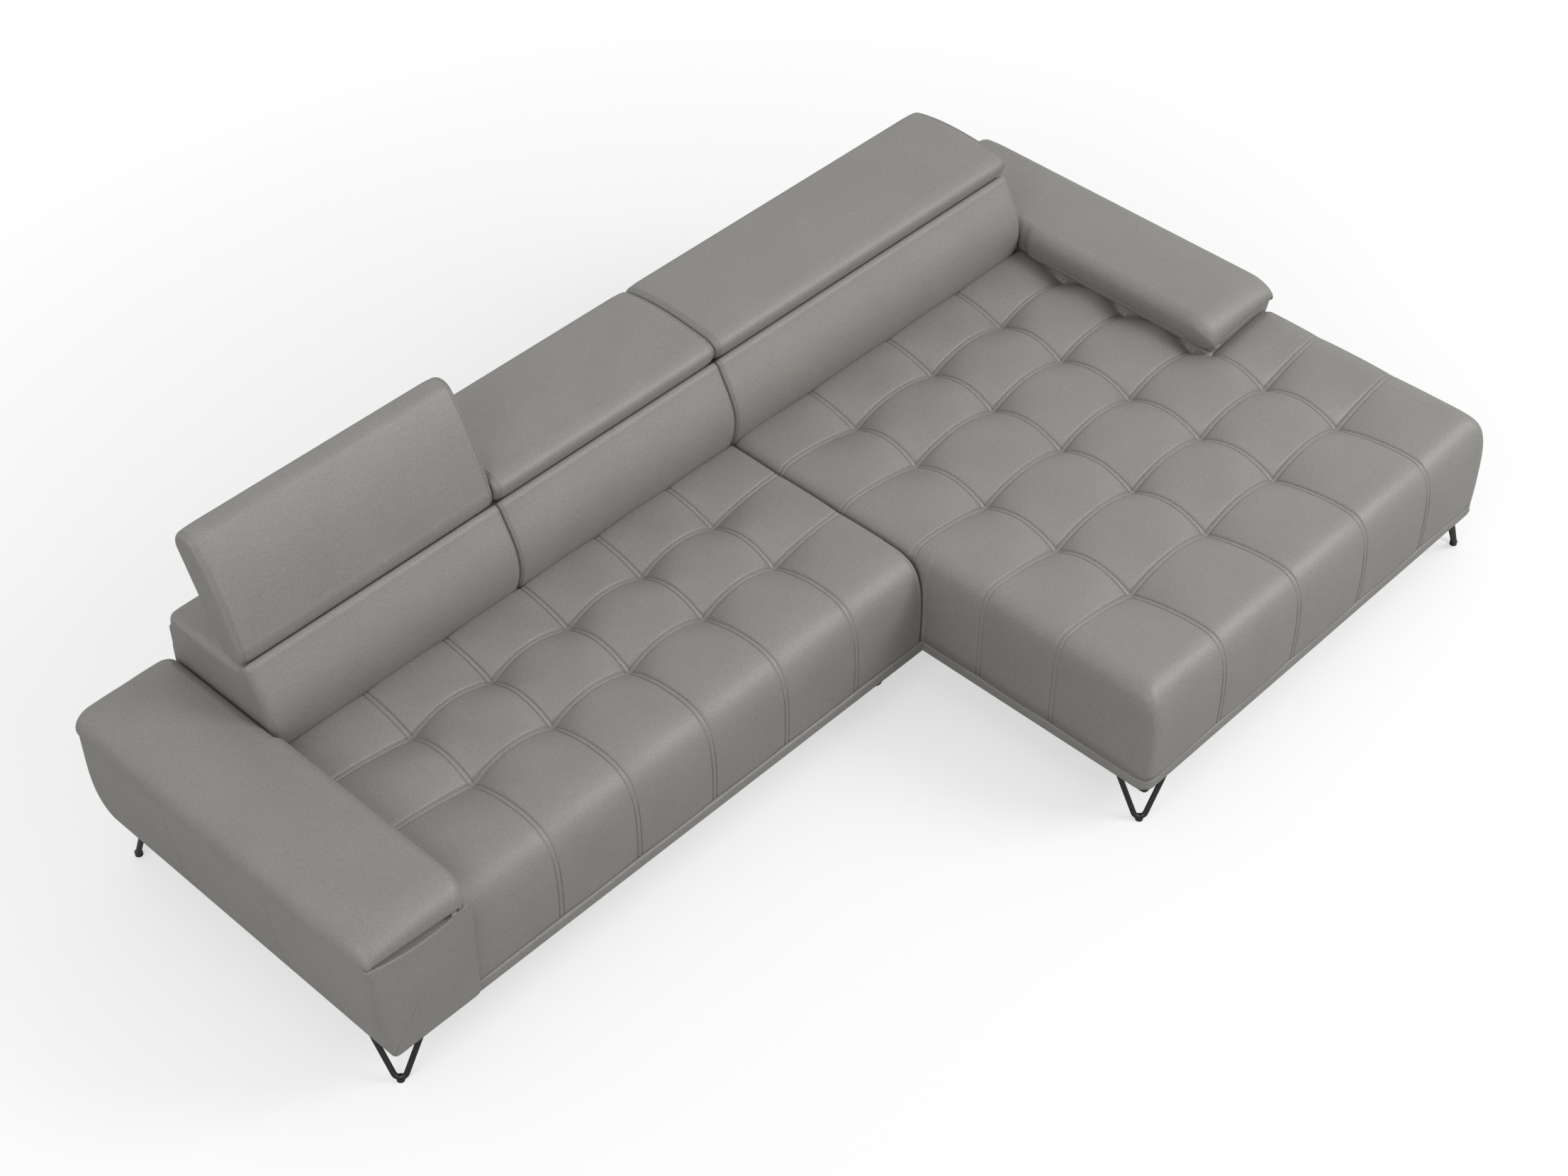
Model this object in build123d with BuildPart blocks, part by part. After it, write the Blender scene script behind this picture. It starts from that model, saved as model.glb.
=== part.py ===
from build123d import *
import math
import os

# Corner sofa: a two-seat module with the left arm, and a chaise module with the right arm.
# The origin is on the floor in the middle of the footprint, +Z is up, +X runs along the back
# from the left arm to the chaise, and the sofa faces -Y. All sizes are in millimetres.

# Plan
arm_width = 290
two_seat_width = 1515
chaise_width = 1135
two_seat_depth = 1015
chaise_depth = 1735
headrest_overhang = 43
back_depth = 344
left_back_width = 767

# Heights
base_height = 128
strip_height = 28
deck_height = 270
tuft_height = 391
arm_split_height = 466
arm_crown_height = 520
shelf_height = 642

# Quilted seat
seam_rise = 36
pillow_rise = 12
rear_tuck_rise = 5
brow_rise = 29
brow_puff = 8
brow_depth = 78
roll_drop = 71
front_swell = 5
foot_tuck = 5
first_row = 171.5
second_row = 213
chaise_row = 234
two_seat_first_column = 272
two_seat_column = 250
two_seat_seams = 5
chaise_columns = (289, 305, 285, 280)
edge_roll = 46
edge_sink = 80
edge_lean = 0.12
edge_square = 0.2
roll_way = 0.3
roll_level = 0.56
edge_rolls = ((0, 0, 1), (0.3, 0.3, 0.35), (1, 0.7, 0.06))
apron = 30
strip_inset = 1
strip_round = 16

# Frame, webbing and cloth
rail = 30
slat = 40
slat_pitch_most = 290
corner_block = 130
block_height = 40
webbing_width = 60
webbing_pitch = 118
webbing_thickness = 2
cloth_thickness = 1.2
cloth_margin = 15
panel_thickness = 12
plywood = 18
post = 25
back_frame_depth = 128
top_rail_depth = 42
top_rail_height = 45
shelf_padding = 32

# Back cushions
lumbar_foot_height = 400
lumbar_swell = 52
shelf_front = 42
back_draw = 9
back_end_length = 45
end_padding = 25
draw_steps = (1, 0.6, 0)

# Headrests
headrest_length = 340
headrest_thickness = 85
headrest_crown = 5
headrest_draw = 13
headrest_end_length = 38
headrest_lift = 5.5
raised_angle = 65.5
pivot_above_middle = 6
board_thickness = 12
board_margin = 45
board_setback = 42
board_reach = 20
hinge_inset = 130
hinge_plate = 5
hinge_arm_plate = 4
hinge_head_radius = 16
hinge_neck = 22
hinge_room = 10
bracket_length = 130
bracket_margin = 10
bracket_screw_shares = (0.2, 0.7)
flange_thickness = 3
flange_length = 100
flange_width = 40
flange_lap = 25
flange_screw_shares = (0.2, 0.6)
board_bite = 0.75
pin_radius = 5
pin_head_radius = 8
pin_head = 3

# Arms
arm_side_tuck = 46
arm_side_ease = 5
arm_side_belly_height = 300
arm_front_padding = 42
arm_rear_padding = 26
arm_outer_padding = 66
arm_top_padding = 26
wall_ease = 5
seat_notch = 35
pad_nose = 54
pad_lip = 14
pad_side = 22
pad_overhang = 12
pad_steps = ((0, 0), (0.55, 0.16), (0.88, 0.45), (1, 0.8))

# Legs
rod_radius = 7
leg_plate_size = 160
leg_plate_thickness = 6
leg_tip_inset = 19
leg_splay = 0.3
leg_half_angle = 20.5
leg_inset = 6
leg_plate_round = 10
leg_screw_steps = ((0.32, 0.28), (0.32, 0.56), (0.56, 0.28))
rod_sink = 0.4
leg_foot_height = 10
leg_bend_radius = 16
glide_radius = 10
glide_height = 11
support_foot_radius = 25
support_foot_inset = 70
stud_radius = 4
screw_radius = 2.5
screw_sides = 6
screw_head_radius = 5
screw_head = 3
screw_length = 15
connector_length = 90
connector_width = 40
connector_plate = 3
connector_screw_share = 0.25
connector_inset = 195
bolt_radius = 5
bolt_head_radius = 9
bolt_head = 6

# Clearances
gap = 0.3
module_gap = 1
running_gap = 0.05
slot_gap = 1

# Places worked out from the sizes above
overall_width = 2 * arm_width + two_seat_width + chaise_width
overall_depth = chaise_depth + headrest_overhang
arm_inner = overall_width / 2 - arm_width
arm_outer = overall_width / 2
joint_x = two_seat_width - arm_inner
rear = overall_depth / 2 - headrest_overhang
two_seat_front = rear - two_seat_depth
chaise_front = rear - chaise_depth
lumbar_line = rear - back_depth
strip_top = base_height + strip_height
left_split = left_back_width - arm_inner
deck_top = deck_height + webbing_thickness
two_seat_rows = [lumbar_line, lumbar_line - first_row, lumbar_line - first_row - second_row]
chaise_rows = two_seat_rows + [two_seat_rows[-1] - chaise_row * step for step in (1, 2, 3)]
arm_front = two_seat_front - 3
headrest_half = headrest_thickness / 2
headrest_run = headrest_length - headrest_thickness
pivot_y = rear + headrest_overhang - headrest_length + headrest_half
headrest_middle = shelf_height + headrest_lift + headrest_half
pivot_z = headrest_middle + pivot_above_middle
back_frame_front = rear - panel_thickness - back_frame_depth
plate_top = base_height - cloth_thickness

os.makedirs("parts", exist_ok=True)


def finish(piece, name):
    """Labels one finished piece and writes it to its own file."""
    piece.part.label = name
    export_step(piece.part, f"parts/{name}.step")


def seat_section(x, rows, front, puff, sink=0):
    """Upright slice of a quilted seat: one arc for each row, the rolled brow, and the front apron.

    puff runs from 0 on a sewn column to 1 in the middle of a cell; sink lowers the slice at an edge.
    """
    row_z = tuft_height + seam_rise * puff - sink
    crown_z = tuft_height + seam_rise + pillow_rise * puff - sink
    face = front + front_swell * (1 - puff) + sink * edge_lean
    brow_z = tuft_height + brow_rise + brow_puff * puff - sink
    roll_z = brow_z - roll_drop - (edge_sink - sink) * edge_square
    knee_z = brow_z * roll_level + roll_z * (1 - roll_level)
    tops = [(rows[0] - gap, tuft_height + rear_tuck_rise - sink)]
    tops += [(row, row_z) for row in rows[1:]]
    brow = (face + brow_depth, brow_z)
    shoulder = (face + foot_tuck, roll_z)
    foot = (face + foot_tuck, strip_top)
    with BuildSketch(Plane.YZ.offset(x)) as slice_of_seat:
        with BuildLine():
            Line((tops[0][0], deck_top), tops[0])
            for start, end in zip(tops, tops[1:]):
                ThreePointArc(start, ((start[0] + end[0]) / 2, crown_z), end)
            ThreePointArc(tops[-1], ((tops[-1][0] + brow[0]) / 2, crown_z), brow)
            ThreePointArc(brow, (face + brow_depth * roll_way, knee_z), shoulder)
            ThreePointArc(shoulder, (face, (roll_z + strip_top) / 2), foot)
            Polyline(foot, (front + apron, strip_top), (front + apron, deck_top), (tops[0][0], deck_top))
        make_face()
    return slice_of_seat.sketch


def quilted_cells(columns, rows, front, left_edge, right_edge):
    """Lofts one strip of pillows for each column; an edge that shows rolls down instead of ending square."""
    for index, (low, high) in enumerate(zip(columns, columns[1:])):
        low_end = edge_rolls if index == 0 and left_edge else ((0, 0, 0),)
        high_end = edge_rolls if index == len(columns) - 2 and right_edge else ((0, 0, 0),)
        slices = [seat_section(low + edge_roll * way, rows, front, puff, edge_sink * sink)
                  for way, puff, sink in low_end]
        slices.append(seat_section((low + high) / 2, rows, front, 1))
        slices += [seat_section(high - edge_roll * way, rows, front, puff, edge_sink * sink)
                   for way, puff, sink in reversed(high_end)]
        loft(slices)


def block(low, high, mode=Mode.ADD):
    """Adds or cuts the box between two corners in the piece that is being built."""
    with Locations(tuple((start + end) / 2 for start, end in zip(low, high))):
        Box(*[end - start for start, end in zip(low, high)], mode=mode)


# Two-seat seat upholstery, quilted in squares, with its front apron
two_seat_left = -arm_inner - seat_notch + gap
two_seat_right = joint_x - module_gap
two_seat_columns = [-arm_inner + two_seat_first_column + two_seat_column * step
                    for step in range(two_seat_seams)]
with BuildPart() as two_seat_cushion:
    two_seat_lines = [two_seat_left, *two_seat_columns, two_seat_right]
    quilted_cells(two_seat_lines, two_seat_rows, two_seat_front, False, False)
    block((two_seat_left, arm_front, base_height),
          (gap - arm_inner, arm_front + arm_front_padding + gap, arm_split_height), Mode.SUBTRACT)
finish(two_seat_cushion, "two_seat_cushion")

# Chaise seat upholstery: it runs round the front of the right arm, and its free edges roll down
chaise_left = joint_x
chaise_right = arm_outer
chaise_seams = [chaise_left + sum(chaise_columns[:step + 1]) for step in range(len(chaise_columns))]
with BuildPart() as chaise_cushion:
    quilted_cells([chaise_left, *chaise_seams, chaise_right], chaise_rows, chaise_front, True, True)
    block((chaise_left, chaise_front + apron, strip_top), (chaise_left + apron, arm_front, deck_top))
    block((chaise_right - apron, chaise_front + apron, strip_top), (chaise_right, arm_front, deck_top))
    block((arm_inner + seat_notch - gap, arm_front - gap, base_height),
          (arm_outer + 1, rear, arm_crown_height), Mode.SUBTRACT)
    block((arm_inner - gap, arm_front - gap, base_height),
          (arm_outer + 1, arm_front + arm_front_padding + gap, arm_crown_height), Mode.SUBTRACT)
finish(chaise_cushion, "chaise_cushion")


def drawn_in(section, low, high, end_length, draw):
    """Soft bar along X: a straight middle, and two ends whose slices draw in along a curve."""
    extrude(section(low + end_length, 0), amount=high - low - 2 * end_length)
    loft([section(low + end_length * (1 - step), draw * step ** 2) for step in draw_steps])
    loft([section(high - end_length * (1 - step), draw * step ** 2) for step in draw_steps])


def hinge_places(low, high):
    """The two hinges of a headrest stand the same way in from its ends."""
    return (low + hinge_inset, high - hinge_inset)


def back_section(x, draw):
    """Upright slice of a back cushion: the lumbar roll, the shelf under the headrest and the rear face."""
    foot = (lumbar_line + gap, lumbar_foot_height)
    brow = (lumbar_line + shelf_front, shelf_height - draw)
    swell = ((foot[0] + brow[0]) / 2 - lumbar_swell + draw, (foot[1] + brow[1]) / 2)
    with BuildSketch(Plane.YZ.offset(x)) as slice_of_back:
        with BuildLine():
            Line((foot[0], deck_top), foot)
            ThreePointArc(foot, swell, brow)
            Polyline(brow, (rear - draw, shelf_height - draw), (rear - draw, deck_top), (foot[0], deck_top))
        make_face()
    return slice_of_back.sketch


def back_cushion(low, high, pocket_low, pocket_high):
    """Back cushion with drawn-in ends, hollow for the frame, and slit where the hinges come through."""
    with BuildPart() as cushion:
        drawn_in(back_section, low, high, back_end_length, back_draw)
        block((pocket_low, back_frame_front - webbing_thickness, deck_top - 1),
              (pocket_high, rear + 1, frame_top), Mode.SUBTRACT)
        for hinge in hinge_places(low, high):
            block((hinge - hinge_plate / 2 - slot_gap, pivot_y - hinge_head_radius, bracket_foot),
                  (hinge + hinge_plate / 2 + slot_gap, bracket_middle, shelf_height + 1), Mode.SUBTRACT)
    return cushion


def headrest_plane(x, angle):
    """Upright plane at x on the headrest's pivot, with its first axis along the headrest."""
    turn = math.radians(angle)
    return Plane(origin=(x, pivot_y, pivot_z), x_dir=(0, math.cos(turn), math.sin(turn)), z_dir=(1, 0, 0))


def headrest_section(x, angle, draw):
    """Slice of a headrest: round nose about the pivot, crowned face, round far end and flat underside."""
    half = headrest_half - draw
    slant = half / math.sqrt(2)
    middle = -pivot_above_middle
    top = middle + half
    bottom = middle - half
    end = headrest_run + half
    with BuildSketch(headrest_plane(x, angle)) as slice_of_headrest:
        with BuildLine():
            ThreePointArc((0, bottom), (-slant, middle - slant), (-half, middle))
            ThreePointArc((-half, middle), (-slant, middle + slant), (0, top))
            ThreePointArc((0, top), (headrest_run / 2, top + headrest_crown), (headrest_run, top))
            ThreePointArc((headrest_run, top), (headrest_run + slant, middle + slant), (end, middle))
            ThreePointArc((end, middle), (headrest_run + slant, middle - slant), (headrest_run, bottom))
            Line((headrest_run, bottom), (0, bottom))
        make_face()
    return slice_of_headrest.sketch


def turned_block(low, high, angle, mode=Mode.ADD):
    """Box in a headrest's own directions: x across, then along the headrest, then through it."""
    with BuildSketch(headrest_plane(low[0], angle)) as outline:
        with Locations(((low[1] + high[1]) / 2, (low[2] + high[2]) / 2)):
            Rectangle(high[1] - low[1], high[2] - low[2])
    extrude(outline.sketch, amount=high[0] - low[0], mode=mode)


def headrest_board_block(low, high, angle, mode=Mode.ADD):
    """The plywood board in a headrest, or the room for it."""
    turned_block((low + board_margin, board_setback, board_bottom),
                 (high - board_margin, headrest_run + board_reach, board_top), angle, mode)


def headrest_pad(low, high, angle):
    """Headrest upholstery, hollow for the board, the hinge arms and the swing of the fixed brackets."""
    with BuildPart() as pad:
        drawn_in(lambda x, draw: headrest_section(x, angle, draw), low, high,
                 headrest_end_length, headrest_draw)
        headrest_board_block(low, high, angle, Mode.SUBTRACT)
        for hinge in hinge_places(low, high):
            turned_block((hinge + lug_start, flange_start, flange_bottom - screw_head - gap),
                         (hinge + flange_width, flange_start + flange_length, board_bottom),
                         angle, Mode.SUBTRACT)
            turned_block((hinge + pocket_start, hinge_room - headrest_half, -headrest_thickness),
                         (hinge + pocket_end, board_setback, hinge_head_radius + slot_gap),
                         angle, Mode.SUBTRACT)
            turned_block((hinge + pocket_start, 0, -headrest_thickness),
                         (hinge + lug_start, headrest_thickness, board_bottom), angle, Mode.SUBTRACT)
    return pad


def hinge_arms(low, high, angle):
    """Moving hinge leaves: a lug on the pin, bent into a flange under the headrest's board."""
    with BuildPart() as arms:
        for hinge in hinge_places(low, high):
            with BuildSketch(headrest_plane(hinge + lug_start, angle)) as lug:
                Circle(hinge_head_radius - slot_gap)
                with Locations((board_setback / 2, (flange_bottom + lug_top) / 2)):
                    Rectangle(board_setback, lug_top - flange_bottom)
                Circle(pin_radius + running_gap, mode=Mode.SUBTRACT)
            extrude(lug.sketch, amount=hinge_arm_plate)
            turned_block((hinge + lug_start, flange_start, flange_bottom),
                         (hinge + flange_width, flange_start + flange_length, board_bottom), angle)
        flange_holes(low, high, angle)
    return arms


def flange_bars(low, high, angle, radius, start, end, mode):
    """One six-sided bar at each flange screw, between two heights in the headrest's own directions."""
    for hinge in hinge_places(low, high):
        section = headrest_plane(hinge + flange_width / 2, angle)
        for along in flange_screws:
            spot = section.from_local_coords((along, start))
            with BuildSketch(Plane(spot, x_dir=section.z_dir, z_dir=section.y_dir)) as bar:
                RegularPolygon(radius, screw_sides)
            extrude(bar.sketch, amount=end - start, mode=mode)


def flange_holes(low, high, angle):
    """Clears the flange screws from the piece that is being built."""
    flange_bars(low, high, angle, screw_radius + running_gap, flange_bottom, flange_screw_end, Mode.SUBTRACT)


def flange_screw_set(low, high, angle):
    """Screws that hold the hinge flanges to the headrest's board."""
    with BuildPart() as screws:
        flange_bars(low, high, angle, screw_radius, flange_bottom, flange_screw_end, Mode.ADD)
        flange_bars(low, high, angle, screw_head_radius, flange_bottom - screw_head, flange_bottom, Mode.ADD)
    return screws


def hinge_brackets(low, high):
    """Fixed hinge plates: each is screwed to a post of the back frame and carries the pin at its head."""
    head = Vector(pivot_y, pivot_z)
    reach = Vector(bracket_middle, bracket_shoulder) - head
    side = Vector(-reach.Y, reach.X).normalized() * (hinge_neck / 2)
    with BuildPart() as brackets:
        for hinge in hinge_places(low, high):
            with BuildSketch(Plane.YZ.offset(hinge - hinge_plate / 2)) as plate:
                with BuildLine():
                    Polyline(head + side, head + reach + side, head + reach - side, head - side, close=True)
                make_face()
                with Locations((bracket_middle, (bracket_foot + bracket_top) / 2)):
                    Rectangle(bracket_width, bracket_top - bracket_foot)
                with Locations((pivot_y, pivot_z)):
                    Circle(hinge_head_radius)
                    Circle(pin_radius + running_gap, mode=Mode.SUBTRACT)
                with Locations(*hinge_screw_places):
                    RegularPolygon(screw_radius + running_gap, screw_sides, mode=Mode.SUBTRACT)
            extrude(plate.sketch, amount=hinge_plate)
    return brackets


def disc(radius, place, sides):
    """Round outline at a place, or one with flat sides, as small fasteners and their holes have."""
    with Locations(place):
        if sides:
            RegularPolygon(radius, sides)
        else:
            Circle(radius)


def rod_along_x(start, end, radius, place, mode=Mode.ADD, sides=0):
    """Bar along X between two stations, at one place in the YZ plane."""
    with BuildSketch(Plane.YZ.offset(start)) as outline:
        disc(radius, place, sides)
    extrude(outline.sketch, amount=end - start, mode=mode)


def hinge_pins(low, high):
    """Hinge pins with a head at each side, one through each pair of leaves."""
    with BuildPart() as pins:
        for hinge in hinge_places(low, high):
            inside = hinge - hinge_plate / 2
            outside = hinge + lug_end
            rod_along_x(inside - pin_head, inside, pin_head_radius, (pivot_y, pivot_z))
            rod_along_x(inside, outside, pin_radius, (pivot_y, pivot_z))
            rod_along_x(outside, outside + pin_head, pin_head_radius, (pivot_y, pivot_z))
    return pins


# Places inside a headrest, measured from its pivot, and on the hinge brackets
board_top = -pivot_above_middle
board_bottom = board_top - board_thickness
flange_bottom = board_bottom - flange_thickness
flange_start = board_setback - flange_lap
flange_screws = [board_setback + flange_length * share for share in flange_screw_shares]
flange_screw_end = board_bottom + board_thickness * board_bite
lug_top = hinge_head_radius / 2
lug_start = hinge_plate / 2
lug_end = lug_start + hinge_arm_plate
pocket_start = -hinge_plate / 2 - pin_head - slot_gap
pocket_end = lug_end + pin_head + slot_gap
frame_top = shelf_height - shelf_padding
bracket_foot = frame_top - bracket_length
bracket_top = frame_top - gap
bracket_width = back_frame_depth - top_rail_depth - 2 * bracket_margin
bracket_middle = back_frame_front + bracket_margin + bracket_width / 2
bracket_shoulder = bracket_top - 2 * hinge_neck
hinge_screw_places = [(bracket_middle, bracket_foot + bracket_length * share)
                      for share in bracket_screw_shares]

# Back cushions, headrests and their hinges, from left to right
two_seat_pocket = -arm_inner + end_padding
chaise_pocket = arm_inner - end_padding
back_units = {
    "left": (-arm_inner + gap, left_split - gap / 2, two_seat_pocket, left_split, raised_angle),
    "middle": (left_split + gap / 2, joint_x - module_gap, left_split, joint_x, 0),
    "chaise": (joint_x, arm_inner - gap, joint_x - 1, chaise_pocket, 0),
}
for unit, (low, high, pocket_low, pocket_high, angle) in back_units.items():
    finish(back_cushion(low, high, pocket_low, pocket_high), f"{unit}_back_cushion")
    finish(headrest_pad(low, high, angle), f"{unit}_headrest_pad")
    with BuildPart() as headrest_board:
        headrest_board_block(low, high, angle)
        flange_holes(low, high, angle)
    finish(headrest_board, f"{unit}_headrest_board")
    finish(hinge_arms(low, high, angle), f"{unit}_hinge_arms")
    finish(flange_screw_set(low, high, angle), f"{unit}_flange_screws")
    finish(hinge_brackets(low, high), f"{unit}_hinge_brackets")
    finish(hinge_pins(low, high), f"{unit}_hinge_pins")


def upright(radius, place, low, high, mode=Mode.ADD, sides=0):
    """Upright bar between two heights at one place in the plan."""
    with BuildSketch(Plane.XY.offset(low)) as outline:
        disc(radius, place, sides)
    extrude(outline.sketch, amount=high - low, mode=mode)


def plan_slab(corners, low, high, mode=Mode.ADD):
    """Upright slab over a straight-sided outline in the plan."""
    with BuildSketch(Plane.XY.offset(low)) as outline:
        with BuildLine():
            Polyline(*corners, close=True)
        make_face()
    extrude(outline.sketch, amount=high - low, mode=mode)


def spread(low, high, most):
    """Even stations strictly between two ends, no further apart than most."""
    count = math.ceil((high - low) / most)
    return [low + (high - low) * step / count for step in range(1, count)]


# Leg corners, each with the outward direction of its two sides
arm_foot = arm_outer - arm_side_tuck
leg_corners = {
    "front_left_leg": ((-arm_foot + leg_inset, arm_front + leg_inset), (-1, -1)),
    "rear_left_leg": ((-arm_foot + leg_inset, rear - leg_inset), (-1, 1)),
    "rear_right_leg": ((arm_foot - leg_inset, rear - leg_inset), (1, 1)),
    "chaise_front_left_leg": ((chaise_left + leg_inset, chaise_front + leg_inset), (-1, -1)),
    "chaise_front_right_leg": ((chaise_right - leg_inset, chaise_front + leg_inset), (1, -1)),
}


def leg_screw_spots(corner, outward):
    """Three screw places on a leg plate, near its right-angled corner."""
    return [(corner[0] - outward[0] * leg_plate_size * along,
             corner[1] - outward[1] * leg_plate_size * across)
            for along, across in leg_screw_steps]


# Feet, connectors and their screws beside the joint of the two modules
two_seat_frame_front = two_seat_front + apron
frame_rear = rear - panel_thickness
feet_places = ((joint_x - support_foot_inset, two_seat_frame_front + support_foot_inset),
               (joint_x - support_foot_inset, frame_rear - support_foot_inset),
               (joint_x + support_foot_inset, frame_rear - support_foot_inset))
connector_rows = (two_seat_frame_front + connector_inset, frame_rear - connector_inset)
connector_spots = [(joint_x + side * rail / 2, row + way * connector_width * connector_screw_share)
                   for row in connector_rows for side in (-1, 1) for way in (-1, 1)]
leg_spots = [spot for place in leg_corners.values() for spot in leg_screw_spots(*place)]
base_spots = leg_spots + connector_spots
plate_bottom = plate_top - leg_plate_thickness
connector_bottom = plate_top - connector_plate


def base_holes(low, screw_end, stud_end):
    """Clears the screws and foot studs that pass through a piece of the base."""
    for spot in base_spots:
        upright(screw_radius + running_gap, spot, low, screw_end, Mode.SUBTRACT, screw_sides)
    for place in feet_places:
        upright(stud_radius + running_gap, place, low, stud_end, Mode.SUBTRACT)


box_front = arm_front + arm_front_padding
box_rear = rear - arm_rear_padding
bay_ends = [box_front, *spread(box_front + plywood / 2, box_rear - plywood / 2, slat_pitch_most), box_rear]
bolt_rows = [(bay_front + bay_rear) / 2 for bay_front, bay_rear in zip(bay_ends, bay_ends[1:])]
bolt_height = (base_height + deck_height) / 2
block_top = base_height + block_height
back_rail_front = back_frame_front - rail / 2

# Two-seat frame: a ring of rails, slats under the straps, a rail under the back, and corner blocks
with BuildPart() as two_seat_frame:
    block((-arm_inner, two_seat_frame_front, base_height), (two_seat_right, frame_rear, deck_height))
    block((-arm_inner + rail, two_seat_frame_front + rail, base_height),
          (two_seat_right - rail, frame_rear - rail, deck_height), Mode.SUBTRACT)
    for x in spread(-arm_inner + rail, two_seat_right - rail, slat_pitch_most):
        block((x - slat / 2, two_seat_frame_front, deck_height - slat),
              (x + slat / 2, frame_rear, deck_height))
    block((-arm_inner, back_rail_front, deck_height - slat),
          (two_seat_right, back_rail_front + rail, deck_height))
    block((two_seat_right - corner_block, two_seat_frame_front, base_height),
          (two_seat_right, two_seat_frame_front + corner_block, block_top))
    block((two_seat_right - corner_block, frame_rear - corner_block, base_height),
          (two_seat_right, frame_rear, block_top))
    base_holes(base_height, plate_bottom + screw_length, block_top)
    for row in bolt_rows:
        rod_along_x(-arm_inner, -arm_inner + rail, bolt_radius + running_gap, (row, bolt_height),
                    Mode.SUBTRACT, screw_sides)
finish(two_seat_frame, "two_seat_frame")

# Chaise frame: the ring steps in beside the right arm, so its outline is an L
chaise_frame_left = chaise_left + module_gap
chaise_frame_front = chaise_front + apron
chaise_outline = ((chaise_frame_left, frame_rear), (chaise_frame_left, arm_front),
                  (chaise_left + apron, arm_front), (chaise_left + apron, chaise_frame_front),
                  (chaise_right - apron, chaise_frame_front), (chaise_right - apron, arm_front),
                  (arm_inner, arm_front), (arm_inner, frame_rear))
with BuildPart() as chaise_frame:
    with BuildSketch(Plane.XY.offset(base_height)) as ring:
        with BuildLine():
            Polyline(*chaise_outline, close=True)
        make_face()
        offset(amount=-rail, kind=Kind.INTERSECTION, mode=Mode.SUBTRACT)
    extrude(ring.sketch, amount=deck_height - base_height)
    block((chaise_left + apron, arm_front, base_height),
          (chaise_right - apron, arm_front + rail, deck_height))
    for y in spread(chaise_frame_front + rail, arm_front, slat_pitch_most):
        block((chaise_left + apron, y - slat / 2, deck_height - slat),
              (chaise_right - apron, y + slat / 2, deck_height))
    for y in spread(arm_front + rail, frame_rear - rail, slat_pitch_most):
        block((chaise_frame_left, y - slat / 2, deck_height - slat), (arm_inner, y + slat / 2, deck_height))
    block((chaise_frame_left, back_rail_front, deck_height - slat),
          (arm_inner, back_rail_front + rail, deck_height))
    for x in (chaise_left + apron, chaise_right - apron - corner_block):
        block((x, chaise_frame_front, base_height),
              (x + corner_block, chaise_frame_front + corner_block, block_top))
    block((chaise_frame_left, frame_rear - corner_block, base_height),
          (chaise_frame_left + corner_block, frame_rear, block_top))
    block((arm_inner, arm_front, base_height), (arm_outer, rear, deck_height), Mode.SUBTRACT)
    base_holes(base_height, plate_bottom + screw_length, block_top)
    for row in bolt_rows:
        rod_along_x(arm_inner - rail, arm_inner, bolt_radius + running_gap, (row, bolt_height),
                    Mode.SUBTRACT, screw_sides)
finish(chaise_frame, "chaise_frame")

# Seat straps from the front rail to the rail under the back
strap_rear = back_frame_front - webbing_thickness
with BuildPart() as two_seat_webbing:
    for x in spread(-arm_inner, two_seat_right, webbing_pitch):
        block((x - webbing_width / 2, two_seat_frame_front, deck_height),
              (x + webbing_width / 2, strap_rear, deck_top))
finish(two_seat_webbing, "two_seat_webbing")

with BuildPart() as chaise_webbing:
    for x in spread(chaise_left + apron, arm_inner, webbing_pitch):
        block((x - webbing_width / 2, chaise_frame_front, deck_height),
              (x + webbing_width / 2, strap_rear, deck_top))
    for x in spread(arm_inner, chaise_right - apron, webbing_pitch):
        block((x - webbing_width / 2, chaise_frame_front, deck_height),
              (x + webbing_width / 2, arm_front, deck_top))
finish(chaise_webbing, "chaise_webbing")

# Covered strips along the foot of the aprons
strip_front = two_seat_front + strip_inset
strip_left = -arm_inner + gap
with BuildPart() as two_seat_base_strip:
    with BuildSketch(Plane.XY.offset(base_height)) as strip_outline:
        with Locations(((strip_left + two_seat_right) / 2, (strip_front + two_seat_frame_front) / 2)):
            Rectangle(two_seat_right - strip_left, two_seat_frame_front - strip_front)
        fillet(strip_outline.vertices().sort_by(Axis.Y)[:2].sort_by(Axis.X)[-1], strip_round)
    extrude(strip_outline.sketch, amount=strip_height)
finish(two_seat_base_strip, "two_seat_base_strip")

with BuildPart() as chaise_base_strip:
    with BuildSketch(Plane.XY.offset(base_height)) as chaise_strip_outline:
        with BuildLine():
            Polyline((chaise_left + strip_inset, arm_front - gap),
                     (chaise_left + strip_inset, chaise_front + strip_inset),
                     (chaise_right - strip_inset, chaise_front + strip_inset),
                     (chaise_right - strip_inset, arm_front - gap), close=True)
        make_face()
        fillet(chaise_strip_outline.vertices().sort_by(Axis.Y)[:2], strip_round)
    extrude(chaise_strip_outline.sketch, amount=strip_height)
    block((chaise_left + apron, chaise_frame_front, base_height), (chaise_right - apron, rear, strip_top),
          Mode.SUBTRACT)
finish(chaise_base_strip, "chaise_base_strip")

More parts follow.
